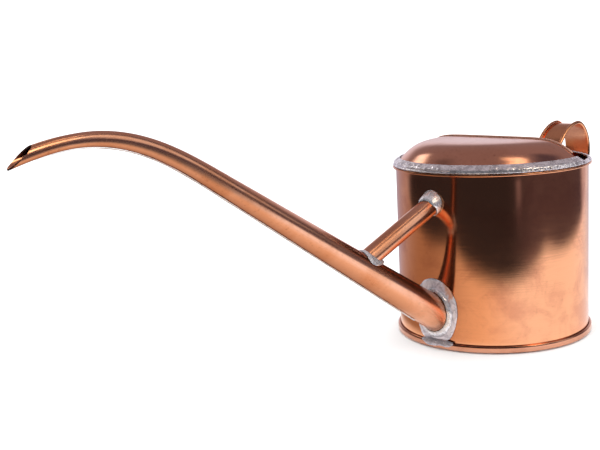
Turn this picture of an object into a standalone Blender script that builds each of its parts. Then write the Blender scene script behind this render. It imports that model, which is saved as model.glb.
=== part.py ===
"""Long-reach copper watering can, made from sheet and tube and joined with soft solder.

Frame: metres, +Z up. The origin is the centre of the flat underside, the
spout points along -X and the handle is at +X. Everything is fixed: nothing on
this can turns, slides or comes off.
"""

import math

import bmesh
import bpy
from mathutils import Vector

MM = 0.001

# ---------------------------------------------------------------- driving sizes
GAP = 0.3 * MM                    # clearance that soldered neighbours keep

BODY_RADIUS = 60.0 * MM           # outside of the rolled wall
SHEET = 0.7 * MM                  # copper sheet
WALL_TOP = 109.3 * MM             # top edge of the wall
RIM_BAND = 2.6 * MM               # from the underside of the hemmed ledge to that edge
RIM_LEDGE_HEIGHT = 1.3 * MM
RIM_REACH = 1.9 * MM              # how far ledge, rim bead and foot stand out

FOOT_HEIGHT = 5.0 * MM            # the hem of the bottom plate

HOOD_RISE = 12.2 * MM             # dome height over its springing line
DOME_FLAT = 7.7                   # higher is flatter over the crown
DOME_FLARE = 1.6                  # higher sweeps out more at the edge
HOOD_SKIRT = 7.0 * MM             # the part of the hood inside the wall
MOUTH_TOP_X = 2.3 * MM            # where the mouth edge crosses the crown
MOUTH_END_X = 7.7 * MM            # where it comes down to the rim
MOUTH_WIRE_RADIUS = 0.8 * MM
MOUTH_WIRE_CLEAR = 3.2 * MM       # the wire stops this far over the springing line
RIM_LAP = 1.8 * MM                # how far the rim solder runs onto the hood

SPOUT_UNDERSIDE = 9.6 * MM         # from the table to the tube's underside at the wall
SPOUT_RISE = math.radians(32.3)   # slope of the straight run
SPOUT_STRAIGHT = 192.0 * MM
SPOUT_BEND = 116.5 * MM           # length of the curved end
SPOUT_ROOT_RADIUS = 10.4 * MM
SPOUT_TIP_RADIUS = 3.2 * MM
SPOUT_TAPER = 0.026                 # radius lost per length, until the tip's radius is reached
SPOUT_SHEET = 0.8 * MM
SPOUT_LIP_BACK = 0.7 * MM         # the lower lip's point, back from the tube's full length
SPOUT_CUT = math.radians(24.0)    # slant of the mouth against the tube's own direction

FLANGE_SIDE = 5.6 * MM            # saddle plate beyond the tube, each side
FLANGE_ABOVE = 9.8 * MM           # and above it
FLANGE_SHEET = 0.7 * MM
FLANGE_FOOT_BULGE = 0.45          # below 1 makes the plate's lower end squarer
DRIP_HALF_ANGLE = math.radians(12.5)   # the solder that ties the plate to the foot

BRACE_RADIUS = 5.75 * MM
BRACE_SHEET = 0.8 * MM
BRACE_BELOW_RIM = 19.8 * MM       # its upper end, down from the wall's top edge
BRACE_FALL = math.radians(21.2)

STRAP_HALF_WIDTH = 9.5 * MM
STRAP_SHEET = 0.5 * MM
STRAP_CURL_RADIUS = 0.95 * MM     # middle of the sheet in the rolled edge
STRAP_WIRE_RADIUS = 0.38 * MM
HANDLE_REACH = 43.4 * MM          # from the wall to the far side of the grip
HANDLE_RISE = 14.5 * MM           # top of the grip over the wall's top edge
HANDLE_FOOT_Z = 30.0 * MM         # lower end of the strap

# ---------------------------------------------------------------- tied sizes
RIM_RADIUS = BODY_RADIUS + RIM_REACH
RIM_LEDGE_Z = WALL_TOP - RIM_BAND
WALL_INSIDE = BODY_RADIUS - SHEET
HOOD_RADIUS = WALL_INSIDE - GAP
HOOD_SPRING_Z = WALL_TOP + 1.9 * MM
SPOUT_LENGTH = SPOUT_STRAIGHT + SPOUT_BEND
SPOUT_ROOT_Z = SPOUT_UNDERSIDE + SPOUT_ROOT_RADIUS / math.cos(SPOUT_RISE)   # its centre line
BRACE_WALL_Z = WALL_TOP - BRACE_BELOW_RIM
FLANGE_LOW = FOOT_HEIGHT + GAP
FLANGE_HIGH = SPOUT_ROOT_Z + SPOUT_ROOT_RADIUS / math.cos(SPOUT_RISE) + FLANGE_ABOVE
FLANGE_HALF_WIDTH = SPOUT_ROOT_RADIUS + FLANGE_SIDE
FLANGE_HALF_HEIGHT = (FLANGE_HIGH - FLANGE_LOW) / 2
FLANGE_CENTRE_Z = (FLANGE_HIGH + FLANGE_LOW) / 2

COPPER = (0.80, 0.36, 0.22)
COPPER_DARK = (0.62, 0.27, 0.16)
TIN = (0.72, 0.73, 0.76)


# ---------------------------------------------------------------- helpers
def clear_scene():
    """Remove every object of the start-up scene."""
    for obj in list(bpy.data.objects):
        bpy.data.objects.remove(obj, do_unlink=True)


def finish(name, color, roughness):
    """Make a metal finish."""
    mat = bpy.data.materials.new(name)
    mat.use_nodes = True
    node = mat.node_tree.nodes["Principled BSDF"]
    node.inputs["Base Color"].default_value = (*color, 1.0)
    node.inputs["Metallic"].default_value = 1.0
    node.inputs["Roughness"].default_value = roughness
    return mat


def solid(name, verts, faces, color, roughness, sharp=30.0):
    """Make one closed body with its faces pointing out."""
    mesh = bpy.data.meshes.new(name)
    mesh.from_pydata([tuple(v) for v in verts], [], faces)
    mesh.validate()
    bm = bmesh.new()
    bm.from_mesh(mesh)
    bmesh.ops.recalc_face_normals(bm, faces=bm.faces[:])
    if bm.calc_volume(signed=True) < 0:
        bmesh.ops.reverse_faces(bm, faces=bm.faces[:])
    bm.to_mesh(mesh)
    bm.free()
    mesh.shade_smooth()
    mesh.set_sharp_from_angle(angle=math.radians(sharp))
    mesh.materials.append(finish(name + "_finish", color, roughness))
    obj = bpy.data.objects.new(name, mesh)
    bpy.context.scene.collection.objects.link(obj)
    return obj


def cutter(name, verts, faces):
    """Make a solid that only cuts others."""
    obj = solid(name, verts, faces, COPPER, 0.5)
    obj.hide_render = True
    obj.display_type = "WIRE"
    return obj


def cut(obj, tool, operation="DIFFERENCE"):
    """Cut obj with tool."""
    mod = obj.modifiers.new(tool.name, "BOOLEAN")
    mod.operation = operation
    mod.solver = "EXACT"
    mod.object = tool


def closed_rings(rings):
    """Join closed rings into a body that closes on itself, like a torus."""
    n, count = len(rings[0]), len(rings)
    verts = [p for ring in rings for p in ring]
    faces = []
    for i in range(count):
        j = (i + 1) % count
        for k in range(n):
            m = (k + 1) % n
            faces.append((i * n + k, i * n + m, j * n + m, j * n + k))
    return verts, faces


def capped_rings(rings):
    """Join rings in a row and close both ends."""
    n, count = len(rings[0]), len(rings)
    verts = [p for ring in rings for p in ring]
    faces = []
    for i in range(count - 1):
        for k in range(n):
            m = (k + 1) % n
            faces.append((i * n + k, i * n + m, (i + 1) * n + m, (i + 1) * n + k))
    faces.append(tuple(reversed(range(n))))
    faces.append(tuple((count - 1) * n + k for k in range(n)))
    return verts, faces


def turned(profile, segments=64):
    """Spin a closed outline of (radius, height) points about +Z."""
    rings = []
    for i in range(segments):
        a = 2 * math.pi * i / segments
        rings.append([(r * math.cos(a), r * math.sin(a), z) for r, z in profile])
    return closed_rings(rings)


def turned_to_axis(profile, segments=64):
    """Spin an outline whose first and last points lie on the axis."""
    (_, z_first), (_, z_last) = profile[0], profile[-1]
    inner = profile[1:-1]
    n = len(inner)
    verts = []
    for i in range(segments):
        a = 2 * math.pi * i / segments
        verts += [(r * math.cos(a), r * math.sin(a), z) for r, z in inner]
    first, last = len(verts), len(verts) + 1
    verts += [(0.0, 0.0, z_first), (0.0, 0.0, z_last)]
    faces = []
    for i in range(segments):
        j = (i + 1) % segments
        for k in range(n - 1):
            faces.append((i * n + k, i * n + k + 1, j * n + k + 1, j * n + k))
        faces.append((first, i * n, j * n))
        faces.append((last, j * n + n - 1, i * n + n - 1))
    return verts, faces


def drum(radius, z_low, z_high, segments=64):
    """A plain upright cylinder, for cutting."""
    return turned_to_axis([(0, z_low), (radius, z_low), (radius, z_high), (0, z_high)], segments)


def annular(outer, inner):
    """Close two rows of rings into a hollow tube with open ends."""
    n = len(outer[0])
    rows = list(outer) + list(reversed(inner))
    verts = [p for ring in rows for p in ring]
    faces = []
    for i in range(len(rows)):
        j = (i + 1) % len(rows)
        for k in range(n):
            m = (k + 1) % n
            faces.append((i * n + k, i * n + m, j * n + m, j * n + k))
    return verts, faces


# ---------------------------------------------------------------- centre lines
def spout_point(t):
    """Centre, direction and outside radius of the spout at length t from the wall."""
    step = 1.0 * MM
    ramp, knee = 50.0 * MM, 75.0 * MM
    k_one, k_two, k_three = 9.85, 12.0, 3.2      # curvature, 1/m
    straight = min(t, SPOUT_STRAIGHT)
    x = -BODY_RADIUS - straight * math.cos(SPOUT_RISE)
    z = SPOUT_ROOT_Z + straight * math.sin(SPOUT_RISE)
    angle = SPOUT_RISE
    rest = t - SPOUT_STRAIGHT
    run = 0.0
    while run < rest - 1e-9:
        d = min(step, rest - run)
        mid = run + d / 2
        if mid < ramp:
            k = k_one * mid / ramp
        elif mid < knee:
            k = k_one + (k_two - k_one) * (mid - ramp) / (knee - ramp)
        else:
            k = k_two + (k_three - k_two) * (mid - knee) / (SPOUT_BEND - knee)
        half = angle - k * d / 2
        x -= d * math.cos(half)
        z += d * math.sin(half)
        angle -= k * d
        run += d
    radius = max(SPOUT_ROOT_RADIUS - SPOUT_TAPER * t, SPOUT_TIP_RADIUS)
    return Vector((x, 0, z)), Vector((-math.cos(angle), 0, math.sin(angle))), radius


def around(direction, phi):
    """Unit vector square to a direction in the XZ plane; phi = 90 degrees is up."""
    side = Vector((0, 1, 0))
    up = side.cross(direction)
    if up.z < 0:
        up = -up
    return side * math.cos(phi) + up * math.sin(phi)


def ring_at(t, extra=0.0, sides=20):
    """A ring of the spout, extra wider than its outside."""
    p, d, r = spout_point(t)
    return [p + around(d, 2 * math.pi * k / sides) * (r + extra) for k in range(sides)]


BRACE_START = Vector((-BODY_RADIUS, 0, BRACE_WALL_Z))
BRACE_DIR = Vector((-math.cos(BRACE_FALL), 0, -math.sin(BRACE_FALL)))


def brace_to_spout_axis():
    """Length along the brace at which its centre line crosses the spout's."""
    start, d, _ = spout_point(0.0)
    across = Vector((-d.z, 0, d.x))
    return (start - BRACE_START).dot(across) / BRACE_DIR.dot(across)


def brace_length():
    """Length of the brace's centre line from the wall to the top of the spout."""
    low, high = 0.0, brace_to_spout_axis()
    for _ in range(60):
        mid = (low + high) / 2
        if above_spout(BRACE_START + BRACE_DIR * mid) > 0:
            low = mid
        else:
            high = mid
    return low


def above_spout(p):
    """Distance of a point outside the spout's straight, tapered run."""
    start, d, _ = spout_point(0.0)
    t = (p - start).dot(d)
    return (p - start - d * t).length - spout_point(min(max(t, 0.0), SPOUT_STRAIGHT))[2]


def hermite(points, tangents, count):
    """Smooth line through points, with a given direction at each."""
    out = []
    for i in range(len(points) - 1):
        a, b = Vector(points[i]), Vector(points[i + 1])
        chord = (b - a).length
        ta, tb = Vector(tangents[i]).normalized() * chord, Vector(tangents[i + 1]).normalized() * chord
        for k in range(count):
            s = k / count
            out.append(a * (2 * s**3 - 3 * s**2 + 1) + ta * (s**3 - 2 * s**2 + s)
                       + b * (3 * s**2 - 2 * s**3) + tb * (s**3 - s**2))
    out.append(Vector(points[-1]))
    return out


def handle_line():
    """Middle line of the strap's sheet in (x, z), from the rim over the grip to its foot."""
    far = BODY_RADIUS + HANDLE_REACH
    top = WALL_TOP + HANDLE_RISE
    tab = BODY_RADIUS + GAP + STRAP_SHEET / 2 + 0.15 * MM
    points = [
        (BODY_RADIUS - 2.0 * MM, RIM_LEDGE_Z - 1.2 * MM),
        (BODY_RADIUS + 10.5 * MM, top - 10.0 * MM),
        (BODY_RADIUS + 0.70 * HANDLE_REACH, top),
        (far - 2.2 * MM, top - 8.8 * MM),
        (far, top - 18.8 * MM),
        (far - 5.0 * MM, top - 35.0 * MM),
        (far - 23.4 * MM, HANDLE_FOOT_Z + 22.0 * MM),
        (tab + 2.2 * MM, HANDLE_FOOT_Z + 12.5 * MM),
        (tab, HANDLE_FOOT_Z + 9.0 * MM),
        (tab, HANDLE_FOOT_Z),
    ]
    tangents = [(1, 1), (1, 1.2), (1, 0.0), (0.5, -1), (0.0, -1), (-0.45, -1),
                (-0.8, -0.9), (-0.8, -0.9), (0, -1), (0, -1)]
    return hermite(points, tangents, 4)


def strap_frames():
    """Stations of the strap: point, direction of travel and outward side, in 3-D."""
    line = handle_line()
    frames = []
    for i, p in enumerate(line):
        a, b = line[max(i - 1, 0)], line[min(i + 1, len(line) - 1)]
        t = (b - a).normalized()
        frames.append((Vector((p.x, 0, p.y)), Vector((t.x, 0, t.y)), Vector((-t.y, 0, t.x))))
    return frames


# ---------------------------------------------------------------- body
def make_base_plate():
    """Bottom plate: a shallow pan whose edge is turned up round the wall and hemmed."""
    s = 0.6 * MM
    inner = BODY_RADIUS + GAP
    outer = RIM_RADIUS - 0.1 * MM
    top = FOOT_HEIGHT
    profile = [
        (0, 0), (inner - 0.4 * MM, 0), (inner + 0.3 * MM, 0.15 * MM), (inner + s, 0.7 * MM),
        (inner + s, top - 1.5 * MM), (outer - s, top - 2.1 * MM), (outer - s, 1.5 * MM),
        (outer - 0.35 * MM, 1.0 * MM), (outer, 1.9 * MM), (outer, top - 2.1 * MM),
        (outer - 0.3 * MM, top - 1.2 * MM), (outer - 0.9 * MM, top - 0.35 * MM),
        (inner + 0.3 * MM, top), (inner, top - 0.3 * MM),
        (inner, SHEET), (0, SHEET),
    ]
    solid("base_plate", *turned_to_axis(profile), COPPER, 0.25)


def make_base_seam_solder():
    """Solder run round the inside corner between wall and bottom."""
    r = WALL_INSIDE - GAP
    z = SHEET + GAP
    profile = [(r, z), (r, z + 3.0 * MM), (r - 0.5 * MM, z + 2.4 * MM),
               (r - 1.2 * MM, z + 1.2 * MM), (r - 2.4 * MM, z + 0.5 * MM), (r - 3.0 * MM, z)]
    solid("base_seam_solder", *turned(profile, 48), TIN, 0.35)


def make_body_wall():
    """Rolled wall with its hemmed ledge and the port that the spout empties."""
    profile = [
        (WALL_INSIDE, SHEET + GAP), (BODY_RADIUS, SHEET + GAP), (BODY_RADIUS, RIM_LEDGE_Z),
        (RIM_RADIUS - 0.3 * MM, RIM_LEDGE_Z), (RIM_RADIUS, RIM_LEDGE_Z + 0.3 * MM),
        (RIM_RADIUS, RIM_LEDGE_Z + RIM_LEDGE_HEIGHT - 0.3 * MM),
        (RIM_RADIUS - 0.3 * MM, RIM_LEDGE_Z + RIM_LEDGE_HEIGHT),
        (BODY_RADIUS, RIM_LEDGE_Z + RIM_LEDGE_HEIGHT), (BODY_RADIUS, WALL_TOP),
        (WALL_INSIDE, WALL_TOP),
    ]
    wall = solid("body_wall", *turned(profile), COPPER, 0.2)
    start, d, r = spout_point(0.0)
    port = r - SPOUT_SHEET
    rings = [[start + d * t + around(d, 2 * math.pi * k / 32) * port for k in range(32)]
             for t in (-1.4 * r, 1.6 * r)]
    cut(wall, cutter("port_cutter", *capped_rings(rings)))


def make_rim_solder():
    """Solder on the rim: it ties the hood's edge to the wall, and is low where there is no hood."""
    z0 = RIM_LEDGE_Z + RIM_LEDGE_HEIGHT + GAP
    inner = BODY_RADIUS + GAP
    top = WALL_TOP + GAP
    lap = HOOD_RADIUS - RIM_LAP
    over = HOOD_SPRING_Z + dome(lap - 0.3 * MM, HOOD_RADIUS, HOOD_RISE) + 1.4 * GAP
    edge = HOOD_RADIUS - 0.5 * MM
    hooded = [
        (inner, z0), (RIM_RADIUS - 0.3 * MM, z0), (RIM_RADIUS, z0 + 0.5 * MM),
        (RIM_RADIUS - 0.05 * MM, z0 + 1.2 * MM), (RIM_RADIUS - 0.35 * MM, z0 + 1.9 * MM),
        (RIM_RADIUS - 0.9 * MM, z0 + 2.6 * MM), (BODY_RADIUS - 0.1 * MM, z0 + 3.5 * MM),
        (lap, over + 0.4 * MM), (lap - 0.3 * MM, over),
        (edge, HOOD_SPRING_Z + dome(edge, HOOD_RADIUS, HOOD_RISE) + 1.2 * GAP),
        (WALL_INSIDE, HOOD_SPRING_Z + GAP), (WALL_INSIDE, top), (inner, top),
    ]
    bare = [
        (inner, z0), (RIM_RADIUS - 0.3 * MM, z0), (RIM_RADIUS, z0 + 0.4 * MM),
        (RIM_RADIUS - 0.05 * MM, z0 + 0.8 * MM), (RIM_RADIUS - 0.35 * MM, z0 + 1.1 * MM),
        (RIM_RADIUS - 0.9 * MM, top + 0.2 * MM), (BODY_RADIUS - 0.1 * MM, top + 0.5 * MM),
        (WALL_INSIDE + 0.25 * MM, top + 0.5 * MM), (WALL_INSIDE + 0.05 * MM, top + 0.4 * MM),
        (WALL_INSIDE, top + 0.3 * MM), (WALL_INSIDE, top + 0.15 * MM), (WALL_INSIDE, top),
        (inner, top),
    ]
    rings = []
    for k in range(64):
        a = 2 * math.pi * k / 64
        share = (HOOD_RADIUS * math.cos(a) - MOUTH_END_X) / (6 * MM)
        share = min(1.0, max(0.0, share))
        rings.append([Vector(((r + (q - r) * share) * math.cos(a), (r + (q - r) * share) * math.sin(a),
                              z + (w - z) * share)) for (r, z), (q, w) in zip(hooded, bare)])
    solid("rim_solder", *closed_rings(rings), TIN, 0.3)


# ---------------------------------------------------------------- hood
def dome(r, radius, rise):
    """Height of the dome over its springing line: flat on top, flared out at its edge."""
    q = min(1.0, r / radius)
    return rise * max(0.0, 1.0 - q ** DOME_FLAT) ** DOME_FLARE


def mouth_plane():
    """A point of the slanted cut, and its normal, up and back."""
    top = Vector((MOUTH_TOP_X, 0, HOOD_SPRING_Z + HOOD_RISE))
    end = Vector((MOUTH_END_X, 0, HOOD_SPRING_Z))
    along = (end - top).normalized()
    return top, Vector((-along.z, 0, along.x))


def make_hood():
    """Pressed dome with a skirt inside the wall, cut open behind the crown."""
    shares = (0.0, 0.4, 0.58, 0.68, 0.76, 0.82, 0.87, 0.91, 0.95, 0.98, 1.0)
    outer = [(HOOD_RADIUS * q, HOOD_SPRING_Z + dome(q, 1.0, HOOD_RISE)) for q in shares]
    inner_r = HOOD_RADIUS - SHEET
    inner = [(inner_r * q, HOOD_SPRING_Z - SHEET * q + dome(q, 1.0, HOOD_RISE) - SHEET * (1 - q))
             for q in shares]
    low = HOOD_SPRING_Z - HOOD_SKIRT
    profile = outer + [(HOOD_RADIUS, low), (inner_r, low)] + list(reversed(inner))
    hood = solid("hood", *turned_to_axis(profile, 48), COPPER_DARK, 0.25)
    top, normal = mouth_plane()
    along = Vector((normal.z, 0, -normal.x))
    side = Vector((0, 1, 0))
    corners = []
    for lift in (0.0, 60 * MM):
        corners.append([top + along * a + side * b + normal * lift
                        for a, b in ((-70 * MM, -90 * MM), (-70 * MM, 90 * MM),
                                     (110 * MM, 90 * MM), (110 * MM, -90 * MM))])
    cut(hood, cutter("mouth_cutter", *capped_rings(corners)))


def make_mouth_wire():
    """Wire lip that stiffens the cut edge of the hood."""
    top, normal = mouth_plane()
    along = Vector((normal.z, 0, -normal.x))
    mid_r, mid_rise = HOOD_RADIUS - SHEET / 2, HOOD_RISE - SHEET / 2

    def edge_width(a):
        """Half-width squared of the cut edge at length a down the slanted cut."""
        p = top + along * a
        h = min(max((p.z - HOOD_SPRING_Z) / mid_rise, 0.0), 1.0)
        r = mid_r * (1.0 - h ** (1 / DOME_FLARE)) ** (1 / DOME_FLAT)
        return r * r - p.x * p.x

    first, last = 0.0, (top.z - HOOD_SPRING_Z - MOUTH_WIRE_CLEAR) / -along.z
    low, high = -5 * MM, 12 * MM
    for _ in range(50):
        first = (low + high) / 2
        if edge_width(first) > 0:
            high = first
        else:
            low = first
    count = 28
    line = []
    for i in range(count + 1):
        u = 2 * i / count - 1
        a = high + (last - high) * u * u
        p = top + along * a
        line.append(Vector((p.x, math.copysign(math.sqrt(max(edge_width(a), 0.0)), u), p.z)))
    lift = GAP + MOUTH_WIRE_RADIUS
    rings = []
    for i, p in enumerate(line):
        a, b = line[max(i - 1, 0)], line[min(i + 1, count)]
        t = (b - a).normalized()
        n = (normal - t * normal.dot(t)).normalized()
        w = t.cross(n)
        c = p + normal * lift
        rings.append([c + (n * math.cos(k * math.pi / 4) + w * math.sin(k * math.pi / 4))
                      * MOUTH_WIRE_RADIUS for k in range(8)])
    solid("mouth_wire", *capped_rings(rings), COPPER_DARK, 0.3, 60)


# ---------------------------------------------------------------- spout
def make_spout_tube():
    """Tapered tube: a long straight run, then a bend that turns its tip down."""
    runs = [-1.4 * SPOUT_ROOT_RADIUS] + [SPOUT_STRAIGHT * k / 5 for k in range(1, 5)]
    runs += [SPOUT_STRAIGHT + SPOUT_BEND * k / 13 for k in range(14)]
    outer = []
    inner = []
    for t in runs:
        if t < 0:
            p, d, r = spout_point(0.0)
            p = p + d * t
            outer.append([p + around(d, 2 * math.pi * k / 20) * r for k in range(20)])
            inner.append([p + around(d, 2 * math.pi * k / 20) * (r - SPOUT_SHEET) for k in range(20)])
        else:
            outer.append(ring_at(t))
            inner.append(ring_at(t, -SPOUT_SHEET))
    tube = solid("spout_tube", *annular(outer, inner), COPPER, 0.25)
    cut(tube, cutter("wall_round_cutter", *drum(BODY_RADIUS + GAP, -30 * MM, WALL_TOP + 30 * MM)))
    p, d, r = spout_point(SPOUT_LENGTH - SPOUT_LIP_BACK)
    lip = p + around(d, -math.pi / 2) * r
    down = around(d, -math.pi / 2)
    along = d * math.cos(SPOUT_CUT) + down * math.sin(SPOUT_CUT)
    normal = d * math.sin(SPOUT_CUT) - down * math.cos(SPOUT_CUT)
    side = Vector((0, 1, 0))
    corners = []
    for lift in (0.0, 30 * MM):
        corners.append([lip + along * a + side * b + normal * lift
                        for a, b in ((-40 * MM, -20 * MM), (-40 * MM, 20 * MM),
                                     (30 * MM, 20 * MM), (30 * MM, -20 * MM))])
    cut(tube, cutter("tip_cutter", *capped_rings(corners)))


def make_spout_seam_solder():
    """Bead of solder along the underside seam of the spout."""
    start, end = 17 * MM, SPOUT_LENGTH - 14 * MM
    rings = []
    count = 24
    for i in range(count + 1):
        t = start + (end - start) * i / count
        p, d, r = spout_point(t)
        base = r + GAP
        half = min(1.1 * MM, 0.45 * r)
        ring = []
        for q, h in ((-1, 0.0), (-1, 0.15 * MM), (-0.45, 0.5 * MM), (0.45, 0.5 * MM),
                     (1, 0.15 * MM), (1, 0.0), (0, 0.0)):
            phi = -math.pi / 2 + q * half / base
            ring.append(p + around(d, phi) * (base + h))
        rings.append(ring)
    solid("spout_seam_solder", *capped_rings(rings), TIN, 0.3, 50)


def wall_crossing(start, d, radius_of, phi, radius):
    """Where the line on a tube at angle phi leaves an upright cylinder of that radius."""
    low, high = -20 * MM, 40 * MM
    for _ in range(50):
        t = (low + high) / 2
        p = start + d * t + around(d, phi) * radius_of(t)
        if math.hypot(p.x, p.y) < radius:
            low = t
        else:
            high = t
    return low


def make_spout_flange():
    """Saddle plate on the wall round the root of the spout."""
    start, d, r = spout_point(0.0)
    steps, sides = 3, 48
    rings = []
    for i in range(sides):
        phi = 2 * math.pi * i / sides
        ring = []
        for radius, order in ((BODY_RADIUS + GAP, 1), (BODY_RADIUS + GAP + FLANGE_SHEET, -1)):
            hole = lambda t: r + GAP + 0.05 * MM
            p = start + d * wall_crossing(start, d, hole, phi, radius) + around(d, phi) * hole(0)
            edge = math.atan2((p.z - FLANGE_CENTRE_Z) / FLANGE_HALF_HEIGHT, p.y / FLANGE_HALF_WIDTH)
            bulge = 1.0 if math.sin(edge) > 0 else FLANGE_FOOT_BULGE ** (math.sin(edge) ** 2)
            far_y = FLANGE_HALF_WIDTH * math.copysign(abs(math.cos(edge)) ** bulge, math.cos(edge))
            far_z = FLANGE_CENTRE_Z + FLANGE_HALF_HEIGHT * math.sin(edge)
            row = []
            for k in range(steps + 1):
                s = k / steps
                y = p.y + (far_y - p.y) * s
                z = p.z + (far_z - p.z) * s
                row.append(Vector((-math.sqrt(radius**2 - y**2), y, z)))
            ring += row if order > 0 else list(reversed(row))
        rings.append(ring)
    solid("spout_flange", *closed_rings(rings), TIN, 0.5)


def fillet(start, d, radius, surface_t, leg_tube, leg_plate, sides=32, rows=2, lean=0.0):
    """Rings of a solder fillet between a round tube and a surface it stands on.

    surface_t(phi, rho) gives how far along d a line at that angle and radius
    meets the surface, with the clearance already in it. lean moves the solder
    from the underside to the top.
    """
    rings = []
    base = radius + GAP
    full_tube, full_plate = leg_tube, leg_plate
    for i in range(sides):
        phi = 2 * math.pi * i / sides
        out = around(d, phi)
        leg_tube = full_tube * (1 + lean * math.sin(phi))
        leg_plate = full_plate * (1 + 0.7 * lean * math.sin(phi))
        ring = []
        for k in range(rows + 1):
            rho = base + leg_plate * k / rows
            ring.append(start + d * surface_t(phi, rho) + out * rho)
        toe = base + leg_plate
        corner = surface_t(phi, base)
        ring.append(start + d * (surface_t(phi, toe) + 0.25 * MM) + out * toe)
        ring.append(start + d * (surface_t(phi, base + leg_plate * 0.6) + leg_tube * 0.42)
                    + out * (base + leg_plate * 0.62))
        ring.append(start + d * (corner + leg_tube * 0.85) + out * (base + leg_plate * 0.25))
        ring.append(start + d * (corner + leg_tube) + out * (base + 0.15 * MM))
        ring.append(start + d * (corner + leg_tube) + out * base)
        rings.append(ring)
    return closed_rings(rings)


def make_spout_flange_solder():
    """Bright fillet between the spout and its saddle plate."""
    start, d, r = spout_point(0.0)
    plate = BODY_RADIUS + GAP + FLANGE_SHEET + GAP

    def surface(phi, rho):
        return wall_crossing(start, d, lambda t: rho, phi, plate)
    solid("spout_flange_solder", *fillet(start, d, r, surface, 2.6 * MM, 2.4 * MM), TIN, 0.25, 50)


def make_flange_foot_solder():
    """Solder that ran off the saddle plate and over the foot of the wall."""
    plate = BODY_RADIUS + GAP + FLANGE_SHEET + GAP
    foot = RIM_RADIUS - 0.1 * MM + GAP
    hem = FOOT_HEIGHT + GAP
    profile = [(foot, 0.8 * MM), (foot + 0.35 * MM, 0.8 * MM), (foot + 0.6 * MM, 2.2 * MM),
               (foot + 0.5 * MM, hem - 1.4 * MM), (plate + 0.9 * MM, hem + 0.6 * MM),
               (plate + 0.15 * MM, hem + 1.3 * MM), (plate, hem + 1.3 * MM), (plate, hem),
               (foot, hem)]
    rings = []
    for i in range(15):
        share = i / 7 - 1
        angle = math.pi + DRIP_HALF_ANGLE * share
        rings.append([Vector((r * math.cos(angle), r * math.sin(angle), z)) for r, z in profile])
    solid("flange_foot_solder", *capped_rings(rings), TIN, 0.35, 50)


# ---------------------------------------------------------------- brace
def spout_crossing(phi, rho):
    """Where a line along the brace at that angle and radius meets the spout."""
    low, high = 20 * MM, brace_to_spout_axis()
    out = around(BRACE_DIR, phi)
    for _ in range(50):
        t = (low + high) / 2
        if above_spout(BRACE_START + BRACE_DIR * t + out * rho) > GAP:
            low = t
        else:
            high = t
    return low


def make_brace_tube():
    """Stay between the wall and the spout, saddle-cut at both ends."""
    length = brace_length()
    outer, inner = [], []
    for t in (-BRACE_RADIUS - 3 * MM, length + BRACE_RADIUS + 4 * MM):
        c = BRACE_START + BRACE_DIR * t
        outer.append([c + around(BRACE_DIR, 2 * math.pi * k / 24) * BRACE_RADIUS for k in range(24)])
        inner.append([c + around(BRACE_DIR, 2 * math.pi * k / 24) * (BRACE_RADIUS - BRACE_SHEET)
                      for k in range(24)])
    tube = solid("brace_tube", *annular(outer, inner), COPPER, 0.25)
    cut(tube, cutter("brace_wall_cutter", *drum(BODY_RADIUS + GAP, -30 * MM, WALL_TOP + 30 * MM)))
    foot = BRACE_START + BRACE_DIR * length
    start, d, _ = spout_point(0.0)
    at = (foot - start).dot(d)
    rings = [ring_at(at + t, GAP, 48) for t in (-25 * MM, 0.0, 25 * MM)]
    cut(tube, cutter("brace_spout_cutter", *capped_rings(rings)))


def make_brace_solder():
    """Solder collars at both ends of the brace."""
    def wall(phi, rho):
        return wall_crossing(BRACE_START, BRACE_DIR, lambda t: rho, phi, BODY_RADIUS + GAP)
    solid("brace_wall_solder",
          *fillet(BRACE_START, BRACE_DIR, BRACE_RADIUS, wall, 5.6 * MM, 1.4 * MM, 24, lean=0.8),
          TIN, 0.2, 50)
    toward_wall = -BRACE_DIR
    length = brace_length()
    foot = BRACE_START + BRACE_DIR * length

    start, d, _ = spout_point(0.0)
    seat = spout_point((foot - start).dot(d))[2]          # the spout's radius under the brace
    leg = min(2.2 * MM, 0.96 * seat - BRACE_RADIUS - GAP)

    def spout(phi, rho):
        return length - spout_crossing(phi, rho)
    solid("brace_spout_solder",
          *fillet(foot, toward_wall, BRACE_RADIUS, spout, 2.6 * MM, leg, 24), TIN, 0.25, 50)


# ---------------------------------------------------------------- handle
def strap_section():
    """Outline of the strap across its width: a flat sheet with both edges rolled outward."""
    half = STRAP_SHEET / 2
    centre_w = STRAP_HALF_WIDTH - STRAP_CURL_RADIUS - half
    right_out, right_in = [], []
    for k in range(6):
        a = -math.pi / 2 + math.radians(230) * k / 5
        for side, sign in ((right_out, 1), (right_in, -1)):
            rad = STRAP_CURL_RADIUS + sign * half
            side.append((centre_w + rad * math.cos(a), STRAP_CURL_RADIUS + rad * math.sin(a)))
    lower = right_out                         # under side and round the outside of the curl
    upper = list(reversed(right_in))          # back round the inside of the curl to the top face
    right = lower + upper
    left = [(-w, h) for w, h in reversed(right)]
    return right + left, centre_w


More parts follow.
